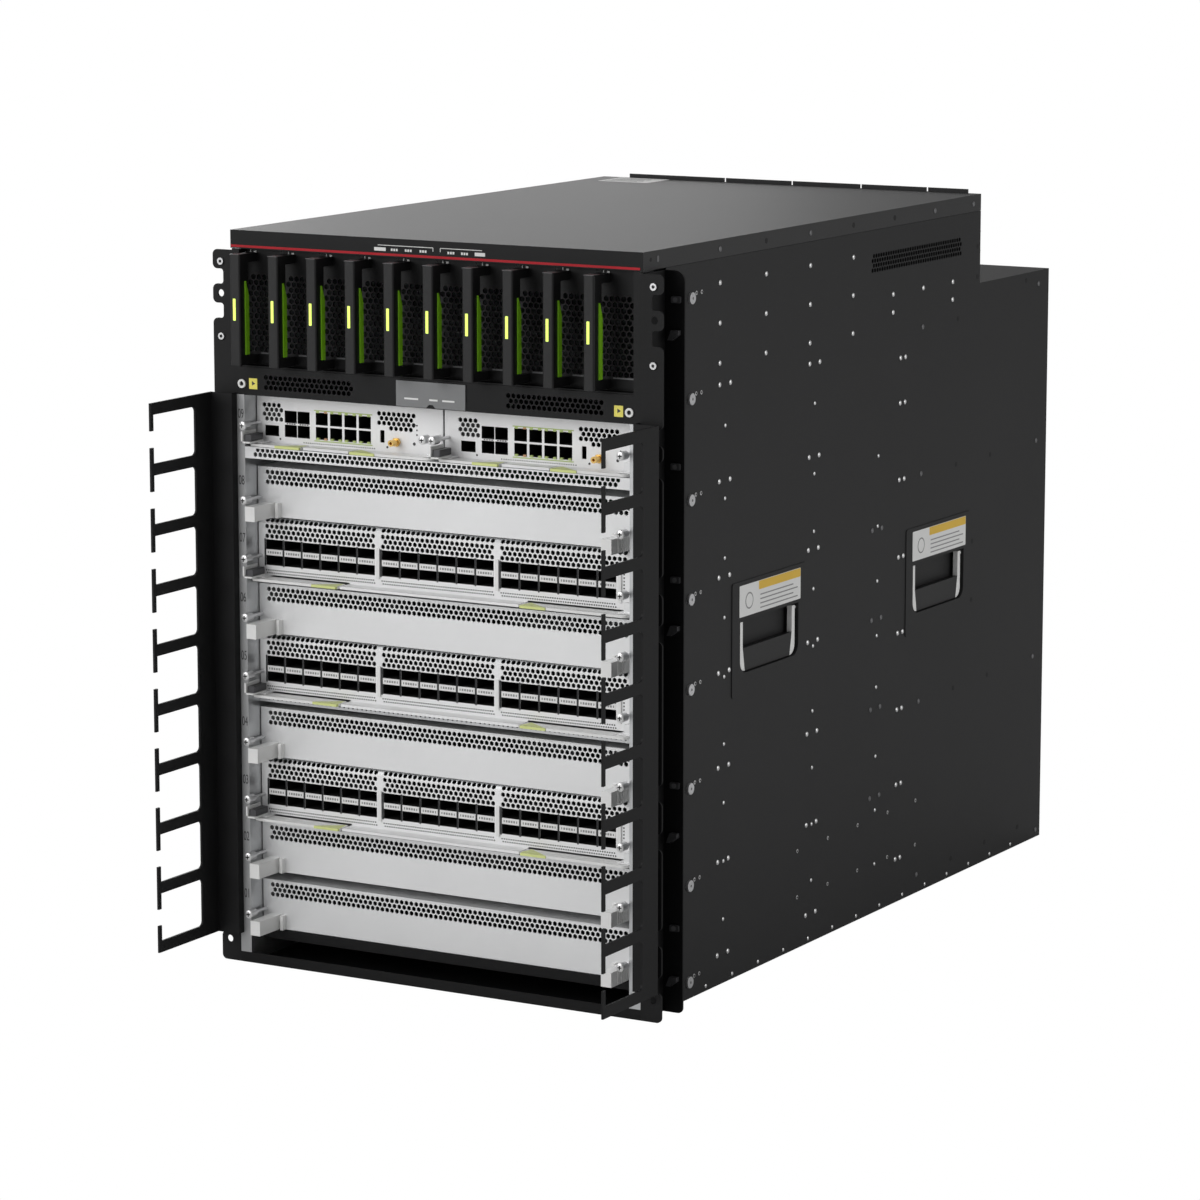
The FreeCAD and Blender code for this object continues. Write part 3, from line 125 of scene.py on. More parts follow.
def finish(name, colour, rough, metal=0.0, grain=0.0, scale=900.0, stretch=(1, 1, 1), tone=0.06,
           coat=0.0, glow=0.0, alpha=1.0, shine=0.5):
    """Material with a slightly uneven tone and roughness, and a fine grain."""
    mat = bpy.data.materials.new(name)
    mat.use_nodes = True
    tree = mat.node_tree
    shader = tree.nodes["Principled BSDF"]
    shader.inputs["Metallic"].default_value = metal
    shader.inputs["Coat Weight"].default_value = coat
    shader.inputs["Specular IOR Level"].default_value = shine
    shader.inputs["Alpha"].default_value = alpha
    if glow:
        shader.inputs["Emission Color"].default_value = (*colour, 1)
        shader.inputs["Emission Strength"].default_value = glow
    place = tree.nodes.new("ShaderNodeTexCoord")
    stretcher = tree.nodes.new("ShaderNodeMapping")
    stretcher.inputs["Scale"].default_value = stretch
    tree.links.new(place.outputs["Object"], stretcher.inputs["Vector"])
    fine = tree.nodes.new("ShaderNodeTexNoise")
    fine.inputs["Scale"].default_value = scale
    fine.inputs["Detail"].default_value = 3.0
    tree.links.new(stretcher.outputs["Vector"], fine.inputs["Vector"])
    broad = tree.nodes.new("ShaderNodeTexNoise")
    broad.inputs["Scale"].default_value = 7.0
    tree.links.new(place.outputs["Object"], broad.inputs["Vector"])
    ramp = tree.nodes.new("ShaderNodeValToRGB")
    ramp.color_ramp.elements[0].position = 0.3
    ramp.color_ramp.elements[1].position = 0.7
    ramp.color_ramp.elements[0].color = (*[c * (1 - tone) for c in colour], 1)
    ramp.color_ramp.elements[1].color = (*[min(c * (1 + tone), 1) for c in colour], 1)
    tree.links.new(broad.outputs["Fac"], ramp.inputs["Fac"])
    tree.links.new(ramp.outputs["Color"], shader.inputs["Base Color"])
    spread = tree.nodes.new("ShaderNodeMapRange")
    spread.inputs["To Min"].default_value = max(rough - 0.06, 0.02)
    spread.inputs["To Max"].default_value = rough + 0.06
    tree.links.new(fine.outputs["Fac"], spread.inputs["Value"])
    tree.links.new(spread.outputs["Result"], shader.inputs["Roughness"])
    if grain:
        bump = tree.nodes.new("ShaderNodeBump")
        bump.inputs["Strength"].default_value = grain
        bump.inputs["Distance"].default_value = 0.0002
        tree.links.new(fine.outputs["Fac"], bump.inputs["Height"])
        tree.links.new(bump.outputs["Normal"], shader.inputs["Normal"])
    return mat


# One black powder coat in three lit and shaded copies: the lighter one on the lid's top is painted light, the
# darker one on front-facing faces is painted shade, and the sides take the one in between.
DARK = finish("dark_powder_coat", (0.0155, 0.0155, 0.016), 0.52, grain=0.25, scale=1400, shine=0.3)
SHADED_COAT = finish("powder_coat_painted_shade", (0.009, 0.009, 0.0095), 0.54, grain=0.2, scale=1400, shine=0.22)
LIT_COAT = finish("powder_coat_painted_light", (0.024, 0.024, 0.0245), 0.46, grain=0.2, scale=1400, shine=0.4)
BLACK = finish("black_paint", (0.004, 0.004, 0.0044), 0.46, grain=0.15, scale=1200, shine=0.25)
# Near black painted shade for holes, recesses and interiors, drawn as discs and faces in place of the shade
# inside them.
RECESS_SHADE = finish("painted_recess_shade", (0.003, 0.003, 0.003), 0.7)
GRIP = finish("grip_moulding", (0.011, 0.011, 0.0115), 0.42, grain=0.3, scale=1800, shine=0.35)
BRIGHT = finish("brushed_nickel", (0.86, 0.865, 0.87), 0.32, metal=0.4, grain=0.12, scale=260,
                stretch=(0.08, 1, 3), tone=0.03)
# A lighter, less metallic copy of the brushed nickel for line cards and management modules; its lighter
# colour is painted light, lifting faces that sit in the bezel's shade.
LIT_NICKEL = finish("nickel_painted_light", (0.92, 0.92, 0.925), 0.38, metal=0.1, grain=0.12, scale=260,
              stretch=(0.08, 1, 3), tone=0.03)
STRIP = finish("satin_zinc", (0.42, 0.425, 0.43), 0.5, metal=0.15, tone=0.05)
SHEET = finish("zinc_sheet", (0.62, 0.63, 0.64), 0.34, metal=0.9, grain=0.1, scale=180, tone=0.08)
STEEL = finish("turned_steel", (0.72, 0.72, 0.73), 0.34, metal=0.85, scale=400, tone=0.05)
RIVET = finish("rivet_steel", (0.80, 0.80, 0.80), 0.30, metal=0.8, tone=0.04)
DIM = finish("dark_rivet", (0.16, 0.16, 0.165), 0.40, metal=0.5)
WHITE = finish("white_moulding", (0.86, 0.86, 0.85), 0.35, coat=0.2, tone=0.02)
LIME = finish("lime_paint", (0.72, 0.78, 0.30), 0.42, tone=0.04)
GREEN = finish("green_moulding", (0.26, 0.64, 0.018), 0.38, coat=0.2, tone=0.05)
LAMP = finish("lamp_lens", (0.72, 0.92, 0.16), 0.3, glow=0.75, tone=0.02)
RED = finish("red_stripe", (0.46, 0.008, 0.018), 0.45, tone=0.04, shine=0.25)
YELLOW = finish("label_yellow", (0.78, 0.50, 0.055), 0.5, tone=0.04)
JACK_YELLOW = finish("jack_yellow", (0.90, 0.80, 0.15), 0.5, tone=0.02)
PAPER = finish("label_white", (0.80, 0.80, 0.79), 0.5, tone=0.02)
INK = finish("label_grey", (0.28, 0.28, 0.28), 0.6)
DIGIT = finish("digit_ink", (0.05, 0.05, 0.05), 0.5)
GOLD = finish("gold_plate", (0.83, 0.55, 0.18), 0.25, metal=1.0)
BOARD = finish("green_laminate", (0.02, 0.09, 0.035), 0.4, coat=0.3)
CLEAR = finish("clear_slip", (0.30, 0.305, 0.31), 0.25, coat=0.5, alpha=0.75)
# Lighter grey strips on the power grips' edges: painted highlight where light catches them.
EDGE_HIGHLIGHT = finish("grip_edge_painted_highlight", (0.13, 0.13, 0.135), 0.35, coat=0.3)
CLIP = finish("spring_nut", (0.10, 0.10, 0.105), 0.38, metal=0.7)
CAGE = finish("cage_shadow", (0.035, 0.036, 0.038), 0.35, metal=0.6)
JACK_GREEN = finish("jack_lens_green", (0.50, 0.62, 0.22), 0.35, tone=0.03)
COPPER = finish("jack_lens_amber", (0.62, 0.34, 0.18), 0.35)


# Mesh building

class Shape:
    """Mesh under construction, in millimetres."""

    def __init__(self):
        self.verts = []
        self.faces = []
        self.marks = []
        self.finishes = []

    def mark(self, mat):
        """Number of a finish in this mesh."""
        if mat not in self.finishes:
            self.finishes.append(mat)
        return self.finishes.index(mat)

    def loft(self, rings, mat, closed=True):
        """Skin over rings of equally many points."""
        base = len(self.verts)
        count = len(rings[0])
        mark = self.mark(mat)
        for ring in rings:
            self.verts += ring
        for level in range(len(rings) - 1):
            low = base + level * count
            for i in range(count):
                j = (i + 1) % count
                self.faces.append((low + i, low + j, low + count + j, low + count + i))
                self.marks.append(mark)
        if closed:
            last = base + (len(rings) - 1) * count
            self.faces += [tuple(range(base, base + count))[::-1], tuple(range(last, last + count))]
            self.marks += [mark, mark]

    def prism(self, axis, outline, start, thick, mat):
        """Flat outline drawn out along an axis."""
        place = PLACES[axis]
        self.loft([[place(u, v, w) for u, v in outline] for w in (start, start + thick)], mat)

    def box(self, x, y, z, mat, soft=0.0):
        """Box with its edges along y softened."""
        outline = rounded(x, z, soft) if soft else [(x[0], z[0]), (x[1], z[0]), (x[1], z[1]), (x[0], z[1])]
        self.prism("y", outline, y[0], y[1] - y[0], mat)

    def turned(self, axis, centre, profile, mat, sides=16):
        """Round piece from (radius, place along the axis) pairs."""
        place = PLACES[axis]
        rings = []
        for radius, w in profile:
            angles = [2 * math.pi * i / sides for i in range(sides)]
            rings.append([place(centre[0] + radius * math.cos(a), centre[1] + radius * math.sin(a), w)
                          for a in angles])
        self.loft(rings, mat)

    def make(self, name, body, mirror=False, smooth=True):
        """Turn the mesh into an object that rides on a body."""
        data = bpy.data.meshes.new(name)
        side = -1 if mirror else 1
        data.from_pydata([metres((side * x, y, z)) for x, y, z in self.verts], [], self.faces)
        for mat in self.finishes:
            data.materials.append(mat)
        data.polygons.foreach_set("material_index", self.marks)
        mesh = bmesh.new()
        mesh.from_mesh(data)
        bmesh.ops.recalc_face_normals(mesh, faces=mesh.faces)
        mesh.to_mesh(data)
        mesh.free()
        if smooth:
            data.shade_smooth()
            data.set_sharp_from_angle(angle=math.radians(40))
        obj = bpy.data.objects.new(name, data)
        bpy.context.scene.collection.objects.link(obj)
        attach(obj, body)
        return obj


def rounded(u, v, radius, steps=4):
    """Rectangle with round corners."""
    points = []
    corners = ((u[1] - radius, v[0] + radius, -90), (u[1] - radius, v[1] - radius, 0),
               (u[0] + radius, v[1] - radius, 90), (u[0] + radius, v[0] + radius, 180))
    for cu, cv, start in corners:
        for i in range(steps + 1):
            a = math.radians(start + 90 * i / steps)
            points.append((cu + radius * math.cos(a), cv + radius * math.sin(a)))
    return points


def dome(shape, axis, centre, radius, base, height, mat, sides=14):
    """Low rounded head on a surface; a negative height points the other way."""
    profile = [(radius, base), (radius * 0.96, base + height * 0.45), (radius * 0.72, base + height * 0.85),
               (radius * 0.3, base + height)]
    shape.turned(axis, centre, profile, mat, sides)


def cross_screw(shape, axis, centre, radius, base, height, mat):
    """Pan head with a cross recess shown as two dark bars of painted shade."""
    dome(shape, axis, centre, radius, base, height, mat, 20)
    top = base + height
    reach = radius * 0.55
    wide = radius * 0.13
    lift = math.copysign(0.06, height)
    for across, along in ((reach, wide), (wide, reach)):
        outline = [(centre[0] - across, centre[1] - along), (centre[0] + across, centre[1] - along),
                   (centre[0] + across, centre[1] + along), (centre[0] - across, centre[1] + along)]
        shape.prism(axis, outline, top - lift, 2 * lift, RECESS_SHADE)


# Finishes of the frame's own nodes

def paint(node, default, rules=()):
    """Give a node its finish; each rule is another finish and the box that it covers."""
    data = NODES[node].data
    data.materials.clear()
    for mat in [default] + [rule[0] for rule in rules]:
        data.materials.append(mat)
    low_y = FRONT_Y / 1000
    for face in data.polygons:
        x, y, z = face.center
        point = (x * 1000, (y - low_y) * 1000, z * 1000)
        face.material_index = 0
        for index, (_, limits) in enumerate(rules, 1):
            if all(low <= value <= high for value, (low, high) in zip(point, limits)):
                face.material_index = index
                break


ANY = (-2000.0, 2000.0)


def paint_frame():
    """Finishes of every node of the frame."""
    for side in ("left", "right"):
        paint(f"side_panel_{side}", DARK)
        # The rack ear here and the cable comb below take the darker copy of the powder coat: painted shade
        # for their front-facing faces.
        paint(f"rack_ear_{side}", SHADED_COAT)
        # The set-back flange is painted near black, standing in for the deep shade it sits in behind the ear.
        paint(f"setback_flange_{side}", BLACK)
        paint(f"cable_comb_{side}", SHADED_COAT)
        for place, start in zip(("front", "rear"), CUP_STARTS):
            grip = ((start + 13.5, start + 107.5), (291.0, 315.5))
            paint(f"lifting_handle_{side}_{place}", WHITE, [(GRIP, (ANY, grip[0], grip[1]))])
    # The lid's top takes the lighter copy of the coat, painted light, and its front face takes the darker
    # copy, painted shade.
    paint("top_cover", LIT_COAT, [(SHADED_COAT, (ANY, (-0.1, 1.7), ANY))])
    paint("base_tray", BLACK)
    paint("front_bezel", BLACK, [(WHITE, (ANY, (-2.0, -0.01), ANY))])
    paint("label_card", CLEAR)
    paint("chassis_frame", SHEET, [(STRIP, ((-219.6, -207.4), (-0.1, 1.6), (9.0, 549.0))),
                                   (BRIGHT, (ANY, (-1.0, 1.3), (480.0, 500.0))),
                                   (BLACK, (ANY, (19.0, 22.0), (10.0, 30.0))),
                                   (BLACK, (ANY, ANY, (574.0, 577.0))),
                                   (DARK, (ANY, (704.0, 877.0), (560.0, 613.0)))])
    paint("panel_screws", STEEL)
    # Part of the midplane is painted near black as shade.
    paint("midplane_board", BOARD, [(RECESS_SHADE, (ANY, (399.0, 403.9), ANY))])
    paint("fabric_boards", BOARD)
    # The power inlet's inside is painted near black as shade.
    paint("power_inlet_panel", DARK, [(RECESS_SHADE, (ANY, (600.0, 703.0), ANY))])
    for number in FILLER_SLOTS:
        paint(f"filler_panel_{number:02d}", BRIGHT, filler_rules())
    for number in LINE_SLOTS:
        low = slot_bottom(number)
        paint(f"line_card_{number:02d}", LIT_NICKEL, card_rules(low))
        for side, tab in (("left", (-144.0, -107.5)), ("right", (91.5, 119.0))):
            paint(f"line_card_{number:02d}_lever_{side}", WHITE, [(LIME, (tab, (-2.0, 9.5), ANY))])
    for side, start in MANAGER_SIDES:
        name = f"management_module_{side}"
        paint(name, LIT_NICKEL, manager_rules(start))
        for hand, tab in (("left", (start + 42.0, start + 69.5)), ("right", (start + 124.5, start + 152.0))):
            paint(f"{name}_lever_{hand}", WHITE, [(LIME, (tab, (-2.0, 9.5), ANY))])
    for index in range(POWER_COUNT):
        left = POWER_PITCH * (index - POWER_COUNT / 2) + 2.0
        rules = [(GREEN, ((left + 11.55, left + 13.0), (-12.3, -6.4), (587.9, 657.1))),
                 (GRIP, (ANY, (-21.0, 9.9), ANY)),
                 (SHEET, (ANY, (11.5, 500.0), ANY))]
        paint(f"power_module_{index + 1:02d}", BLACK, rules)
    for tray in (1, 2, 3):
        paint(f"fan_tray_{tray}", SHEET, [(GRIP, (ANY, (851.0, 873.0), ANY))])
        for side in ("left", "right"):
            paint(f"fan_rotor_{tray}_{side}", GRIP)


def filler_rules():
    """Where a blank panel's screws and white grips are."""
    return [(STEEL, ((-209.0, -199.4), (-11.0, 19.9), ANY)), (STEEL, ((199.4, 209.0), (-11.0, 19.9), ANY)),
            (WHITE, (ANY, (-17.0, 19.9), ANY))]


def card_rules(low):
    """Where a line card's screws, ports, boards and tray are; the ports' insides are painted shade."""
    return [(STEEL, ((-209.0, -199.4), (-11.0, 19.9), (low + 5, low + 30))),
            (STEEL, ((199.4, 209.0), (-11.0, 19.9), (low + 5, low + 30))),
            (RECESS_SHADE, ((-200.0, 200.0), (21.1, 69.0), (low + 7.0, low + 37.0))),
            (BOARD, ((-200.0, 200.0), (50.0, 400.0), (low + 6.6, low + 8.4))),
            (SHEET, (ANY, (21.3, 400.0), ANY))]


def manager_rules(start):
    """Where a management module's screws, jacks, gold jack, boards and tray are; the jacks' insides are
    painted shade.
    """
    coax = (start + 160.0, start + 170.0)
    return [(GOLD, (coax, (0.0, 19.9), (506.0, 518.0))),
            (STEEL, (ANY, (-11.0, 19.9), (514.0, 526.0))),
            (RECESS_SHADE, ((start + 15.0, start + 141.0), (21.1, 53.0), (505.0, 537.0))),
            (BOARD, (ANY, (50.0, 400.0), (504.9, 507.0))),
            (SHEET, (ANY, (21.3, 400.0), ANY))]


# Details of the outside

def fascia_details():
    """Red line and plain marks on the lid's front, and the plain label on its top."""
    shape = Shape()
    shape.box((-220.5, 218.0), (-0.25, 0.2), RED_LINE_Z, RED)
    for left, right, drop in MARK_BRACKETS:
        shape.box((left, right), (-0.2, 0.1), (696.2, 696.8), PAPER)
        shape.box((drop - 0.3, drop + 0.3), (-0.2, 0.1), (693.0, 696.4), PAPER)
    for left, right in MARK_PLATES:
        shape.box((left, right), (-0.2, 0.1), (691.2, 694.4), PAPER, 0.3)
    for left in MARK_TRIPLES:
        for i in range(3):
            shape.box((left + 2.7 * i, left + 2.7 * i + 1.9), (-0.2, 0.1), (691.6, 693.8), PAPER)
    shape.make("fascia_marks", "chassis")
    label = Shape()
    label.prism("z", rounded((-198.0, -138.0), (650.0, 700.0), 2.0), LID_TOP, 0.15, PAPER)
    for i in range(5):
        line = rounded((-193.0, -155.0 + 4 * (i % 2)), (656.0 + 8 * i, 659.0 + 8 * i), 0.4)
        label.prism("z", line, LID_TOP + 0.1, 0.12, INK)
    label.make("lid_label", "chassis")


def side_points():
    """Bright rivets, small screws, dull screws, holes drawn as dark discs of painted shade, and rings of the
    right side sheet.
    """
    rivets = [(y, 29.0 + 90.0 * k) for y in (144.0, 165.0, 325.0, 346.0) for k in range(7)]
    rivets += [(y, z) for y in (144.0, 235.0, 325.0, 416.0) for z in (589.0, 626.0, 663.0)]
    rivets += [(504.0, 601.0), (504.0, 619.0), (640.0, 601.0), (640.0, 619.0), (572.0, 619.0)]
    pairs = (45.0, 122.0, 199.0, 277.0, 354.0, 432.0, 509.0, 554.0)
    rivets += [(y, z) for y in (522.0, 533.0) for z in pairs]
    heights = (62.0, 118.0, 174.0, 230.0, 294.0, 350.0, 406.0, 462.0, 530.0)
    small = [(y, z) for y in (155.5, 336.5) for z in heights]
    small += [(475.0, z) for z in (50.0, 105.0, 160.0, 230.0, 282.0, 337.0, 392.0, 462.0)]
    small += [(122.0 + 52.2 * k, 5.0) for k in range(14)]
    dull = [(y, z) for y in (463.0, 484.0) for z in (119.0, 209.0, 299.0, 389.0)]
    dull += [(572.0, z) for z in (19.0, 199.0, 432.0, 580.0)] + [(850.0, z) for z in (200.0, 432.0, 598.0)]
    dull += [(865.0, 8.0)] + [(y, 694.0) for y in (144.0, 325.0, 597.0, 687.0)]
    holes = [(654.0, z) for z in (19.0, 199.0, 431.0, 580.0)] + [(736.0, z) for z in (20.0, 199.0, 431.0)]
    holes += [(819.0, 20.0), (819.0, 604.0), (695.0, 285.0), (695.0, 346.0), (699.0, 619.0), (699.0, 650.0)]
    holes += [(y, 694.0) for y in (235.0, 416.0, 506.0)]
    rings = [(y, z) for y in (307.0, 372.0, 437.0, 504.0, 568.0) for z in (51.0, 97.0)]
    rings += [(SIDE_SCREW_Y + 10.0 * k, z + 4.0) for k in (1, 2) for z in SIDE_SCREW_Z]
    return rivets, small, dull, holes, rings


def side_details(side, mirror):
    """Fasteners and holes of one side sheet."""
    rivets, small, dull, holes, rings = side_points()
    shape = Shape()
    for point in rivets:
        dome(shape, "x", point, 2.5, HALF_W, 1.2, RIVET)
    for point in small:
        dome(shape, "x", point, 1.9, HALF_W, 0.9, RIVET, 12)
    for point in dull:
        dome(shape, "x", point, 2.6, HALF_W, 0.9, DIM)
    # Holes are dark discs of painted shade, and so are the centres of the rings below.
    for point in holes:
        shape.turned("x", point, [(2.7, HALF_W), (2.7, HALF_W + 0.12), (2.3, HALF_W + 0.12)], RECESS_SHADE, 14)
    for point in rings:
        shape.turned("x", point, [(1.9, HALF_W), (1.9, HALF_W + 0.35), (1.3, HALF_W + 0.45)], RIVET, 14)
        shape.turned("x", point, [(1.15, HALF_W + 0.3), (1.15, HALF_W + 0.5), (1.1, HALF_W + 0.5)],
                     RECESS_SHADE, 12)
    for z in SIDE_SCREW_Z:
        shape.turned("x", (SIDE_SCREW_Y, z), [(5.5, HALF_W + 1.98), (5.2, HALF_W + 2.3), (3.6, HALF_W + 2.3)],
                     STEEL, 24)
        # The hex socket in each screw head is a dark disc of painted shade.
        shape.turned("x", (SIDE_SCREW_Y, z),
                     [(1.4, HALF_W + 2.2), (1.4, HALF_W + 2.33), (1.3, HALF_W + 2.33)], DIM, 6)
    shape.turned("x", (14.0, 695.4), [(1.9, HALF_W), (1.9, HALF_W + 0.12), (1.8, HALF_W + 0.12)], RECESS_SHADE, 14)
    shape.prism("x", rounded((25.0, 28.6), (692.2, 698.0), 1.7), HALF_W, 0.3, DIM)
    shape.make(f"side_fasteners_{side}", "chassis", mirror)


def handle_labels(side, mirror):
    """Generic label over each lifting handle: picture cell, yellow band and plain lines."""
    shape = Shape()
    x = HALF_W + 0.8
    for start in CUP_STARTS:
        y = (start + HANDLE_LABEL_Y[0], start + HANDLE_LABEL_Y[1])
        cell = start + 38.0
        shape.prism("x", rounded(y, HANDLE_LABEL_Z, 1.0), x, 0.15, PAPER)
        shape.prism("x", rounded((cell, y[1] - 0.4), (366.5, 374.6), 0.6), x + 0.1, 0.1, YELLOW)
        for i in range(4):
            z = 348.2 + 4.2 * i
            line = rounded((cell + 3.0, y[1] - 6.0 - 9.0 * (i % 2)), (z, z + 1.2), 0.3)
            shape.prism("x", line, x + 0.1, 0.1, INK)
        sign = (start + 19.0, 359.0)
        shape.turned("x", sign, [(8.0, x + 0.1), (8.0, x + 0.2), (7.2, x + 0.2)], INK, 24)
        shape.turned("x", sign, [(6.6, x + 0.1), (6.6, x + 0.25), (6.4, x + 0.25)], PAPER, 24)
    shape.make(f"handle_labels_{side}", "chassis", mirror)


def numerals():
    """Plain slot numbers on the left post."""
    for number, z in NUMERAL_Z.items():
        curve = bpy.data.curves.new(f"slot_number_{number:02d}", "FONT")
        curve.body = f"{number:02d}"
        curve.size = NUMERAL_SIZE
        curve.extrude = 0.00008
        curve.align_x = "CENTER"
        curve.align_y = "CENTER"
        curve.materials.append(DIGIT)
        obj = bpy.data.objects.new(curve.name, curve)
        bpy.context.scene.collection.objects.link(obj)
        obj.location = metres((NUMERAL_X, -0.1, z))
        obj.rotation_euler = (math.radians(90), 0, 0)
        obj.scale = (0.49, 0.92, 1.0)
        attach(obj, "chassis")


def air_panel_details():
    """Yellow squares beside the grounding jacks, marks on the clear slip."""
    shape = Shape()
    for x in JACK_MARK_X:
        shape.box((x - 4.6, x + 4.6), (-0.2, 0.1), JACK_MARK_Z, JACK_YELLOW, 0.4)
        shape.turned("y", (x, 559.8), [(2.4, -0.3), (2.4, -0.1), (1.2, -0.1)], DIGIT, 3)
    shape.make("jack_marks", "chassis")
    slip = Shape()
    for x, w in ((-22.0, 15.0), (2.0, 9.0), (18.0, 13.0)):
        slip.box((x - w / 2, x + w / 2), (-1.35, -1.15), (556.0, 557.6), PAPER)
    slip.make("slip_marks", "chassis")


def floor_label():
    """Generic yellow and white label on the floor inside the front lip."""
    shape = Shape()
    shape.prism("z", rounded((-36.0, 20.0), (3.0, 18.0), 0.8), 2.0, 0.2, PAPER)
    shape.prism("z", rounded((-35.6, 19.6), (11.0, 17.6), 0.6), 2.1, 0.2, YELLOW)
    shape.make("floor_label", "chassis")


def power_details(index):
    """Lamp, edges lit by painted highlights, and marks of one power module."""
    left = POWER_PITCH * (index - POWER_COUNT / 2) + 2.0
    shape = Shape()
    shape.box((left + 3.9, left + 6.7), (-20.4, -19.8), (620.5, 641.0), LAMP, 0.6)
    shape.box((left + 0.6, left + 10.9), (-20.5, -9.0), (682.0, 682.5), EDGE_HIGHLIGHT, 0.2)
    shape.box((left + 4.0, left + 4.9), (9.4, 10.0), (681.0, 684.4), PAPER)
    shape.box((left + 8.0, left + 10.6), (9.4, 10.0), (681.6, 683.6), PAPER)
    shape.box((left + 14.5, left + 39.0), (9.3, 10.0), (587.0, 588.4), EDGE_HIGHLIGHT)
    shape.make(f"power_lamp_{index + 1:02d}", f"power_module_{index + 1:02d}")


def flange_clips(side, mirror):
    """Spring nuts clipped on the set-back flange."""
    shape = Shape()
    for z in NUT_Z:
        shape.box((228.5, 238.0), (37.4, 40.0), (z - 3.0, z + 3.0), CLIP, 1.2)
        shape.turned("y", (233.0, z), [(2.3, 37.0), (2.3, 37.5), (1.2, 37.5)], DIM, 14)
    for z in HOOK_Z:
        outline = [(226.5, z - 4.5), (231.0, z - 4.5), (237.5, z + 0.5), (237.5, z + 4.6), (230.0, z + 4.6)]
        shape.prism("y", outline, 34.5, 5.5, CLIP)
    # The ear screw holes are dark discs of painted shade.
    for z in EAR_SCREW_Z:
        shape.turned("y", (EAR_SCREW_X, z), [(1.5, -1.5), (1.5, -1.75), (1.4, -1.75)], RECESS_SHADE, 12)
    shape.make(f"flange_clips_{side}", "chassis", mirror)


def grip_ribs(number):
    """Ribs on the outer side of a blank panel's white grips."""
    low = slot_bottom(number) + RIB_RISE
    shape = Shape()
    for sign in (-1, 1):
        x = sorted(sign * value for value in RIB_X)
        for i in range(RIB_COUNT):
            y = RIB_START + RIB_PITCH * i
            outline = rounded((y, y + RIB_W), (low, low + RIB_H), 0.5)
            shape.prism("x", outline, x[0], x[1] - x[0], WHITE)
    shape.make(f"grip_ribs_{number:02d}", f"filler_panel_{number:02d}")


def small_holes(shape, x, z, pitch, radius, count):
    """Row of small holes on a card's face, drawn as dark discs of painted shade."""
    for i in range(count):
        shape.turned("y", (x + pitch * i, z), [(radius, FACE_Y - 0.08), (radius, FACE_Y + 0.02),
                                               (radius * 0.9, FACE_Y + 0.02)], RECESS_SHADE, 8)


def lever_heads(shape, left, right, top):
    """White hook over the left lever's pin and plain plate over the right one's."""
    low = top + 1.4
    shape.box((left, left + 1.6), (-8.0, 15.0), (low, low + 11.0), WHITE, 0.6)
    shape.box((left, left + 10.0), (-8.0, 15.0), (low, low + 1.4), WHITE, 0.5)
    shape.box((left + 2.2, left + 9.6), (-5.5, 15.0), (low + 1.6, low + 8.0), CLIP, 0.8)
    shape.box((right - 10.0, right), (9.0, FACE_Y), (low, low + 8.6), BRIGHT, 0.8)


def line_card_details(number):
    """Dividers, number strips, small holes, lamps, button and lever heads of one line card."""
    low = slot_bottom(number)
    shape = Shape()
    for group in range(GROUPS):
        left = PORT_LEFT + GROUP_PITCH * group
        right = left + PORT_PITCH * PORT_COLUMNS
        shape.box((right + 1.2, right + 4.8), (FACE_Y - 1.6, FACE_Y), (low + 7.0, low + 36.0), WHITE, 0.6)
        for column in range(PORT_COLUMNS):
            x = left + PORT_PITCH * column
            across = (x + 1.2, x + PORT_PITCH - 1.2)
            shape.box(across, (FACE_Y - 0.5, FACE_Y), (low + 19.8, low + 24.9), WHITE, 0.3)
            for i in range(6):
                wide = 0.55 if i in (0, 5) else 0.9
                middle = x + 3.6 + 2.7 * i
                across = (middle - wide, middle + wide)
                shape.box(across, (FACE_Y - 0.6, FACE_Y - 0.4), (low + 21.4, low + 23.4), INK)
            shape.box((x - 0.75, x + 0.75), (FACE_Y - 0.5, FACE_Y + 3.0), (low + 9.2, low + 35.2), CAGE)
        for row, z in enumerate((low + 5.3, low + 2.6)):
            small_holes(shape, left + 1.0 + 1.25 * row, z, 2.5, 0.75, 49)
    for i in range(5):
        dome(shape, "y", (LINE_LAMP_X, low + 20.4 + 3.2 * i), 0.8, FACE_Y, -0.4, DIGIT, 10)
    dome(shape, "y", (LINE_LAMP_X, low + 12.9), 2.5, FACE_Y, -1.2, GRIP, 16)
    lever_heads(shape, -LEVER_END_X, LEVER_END_X, low - LEVER_DROP)
    shape.make(f"line_card_marks_{number:02d}", f"line_card_{number:02d}")


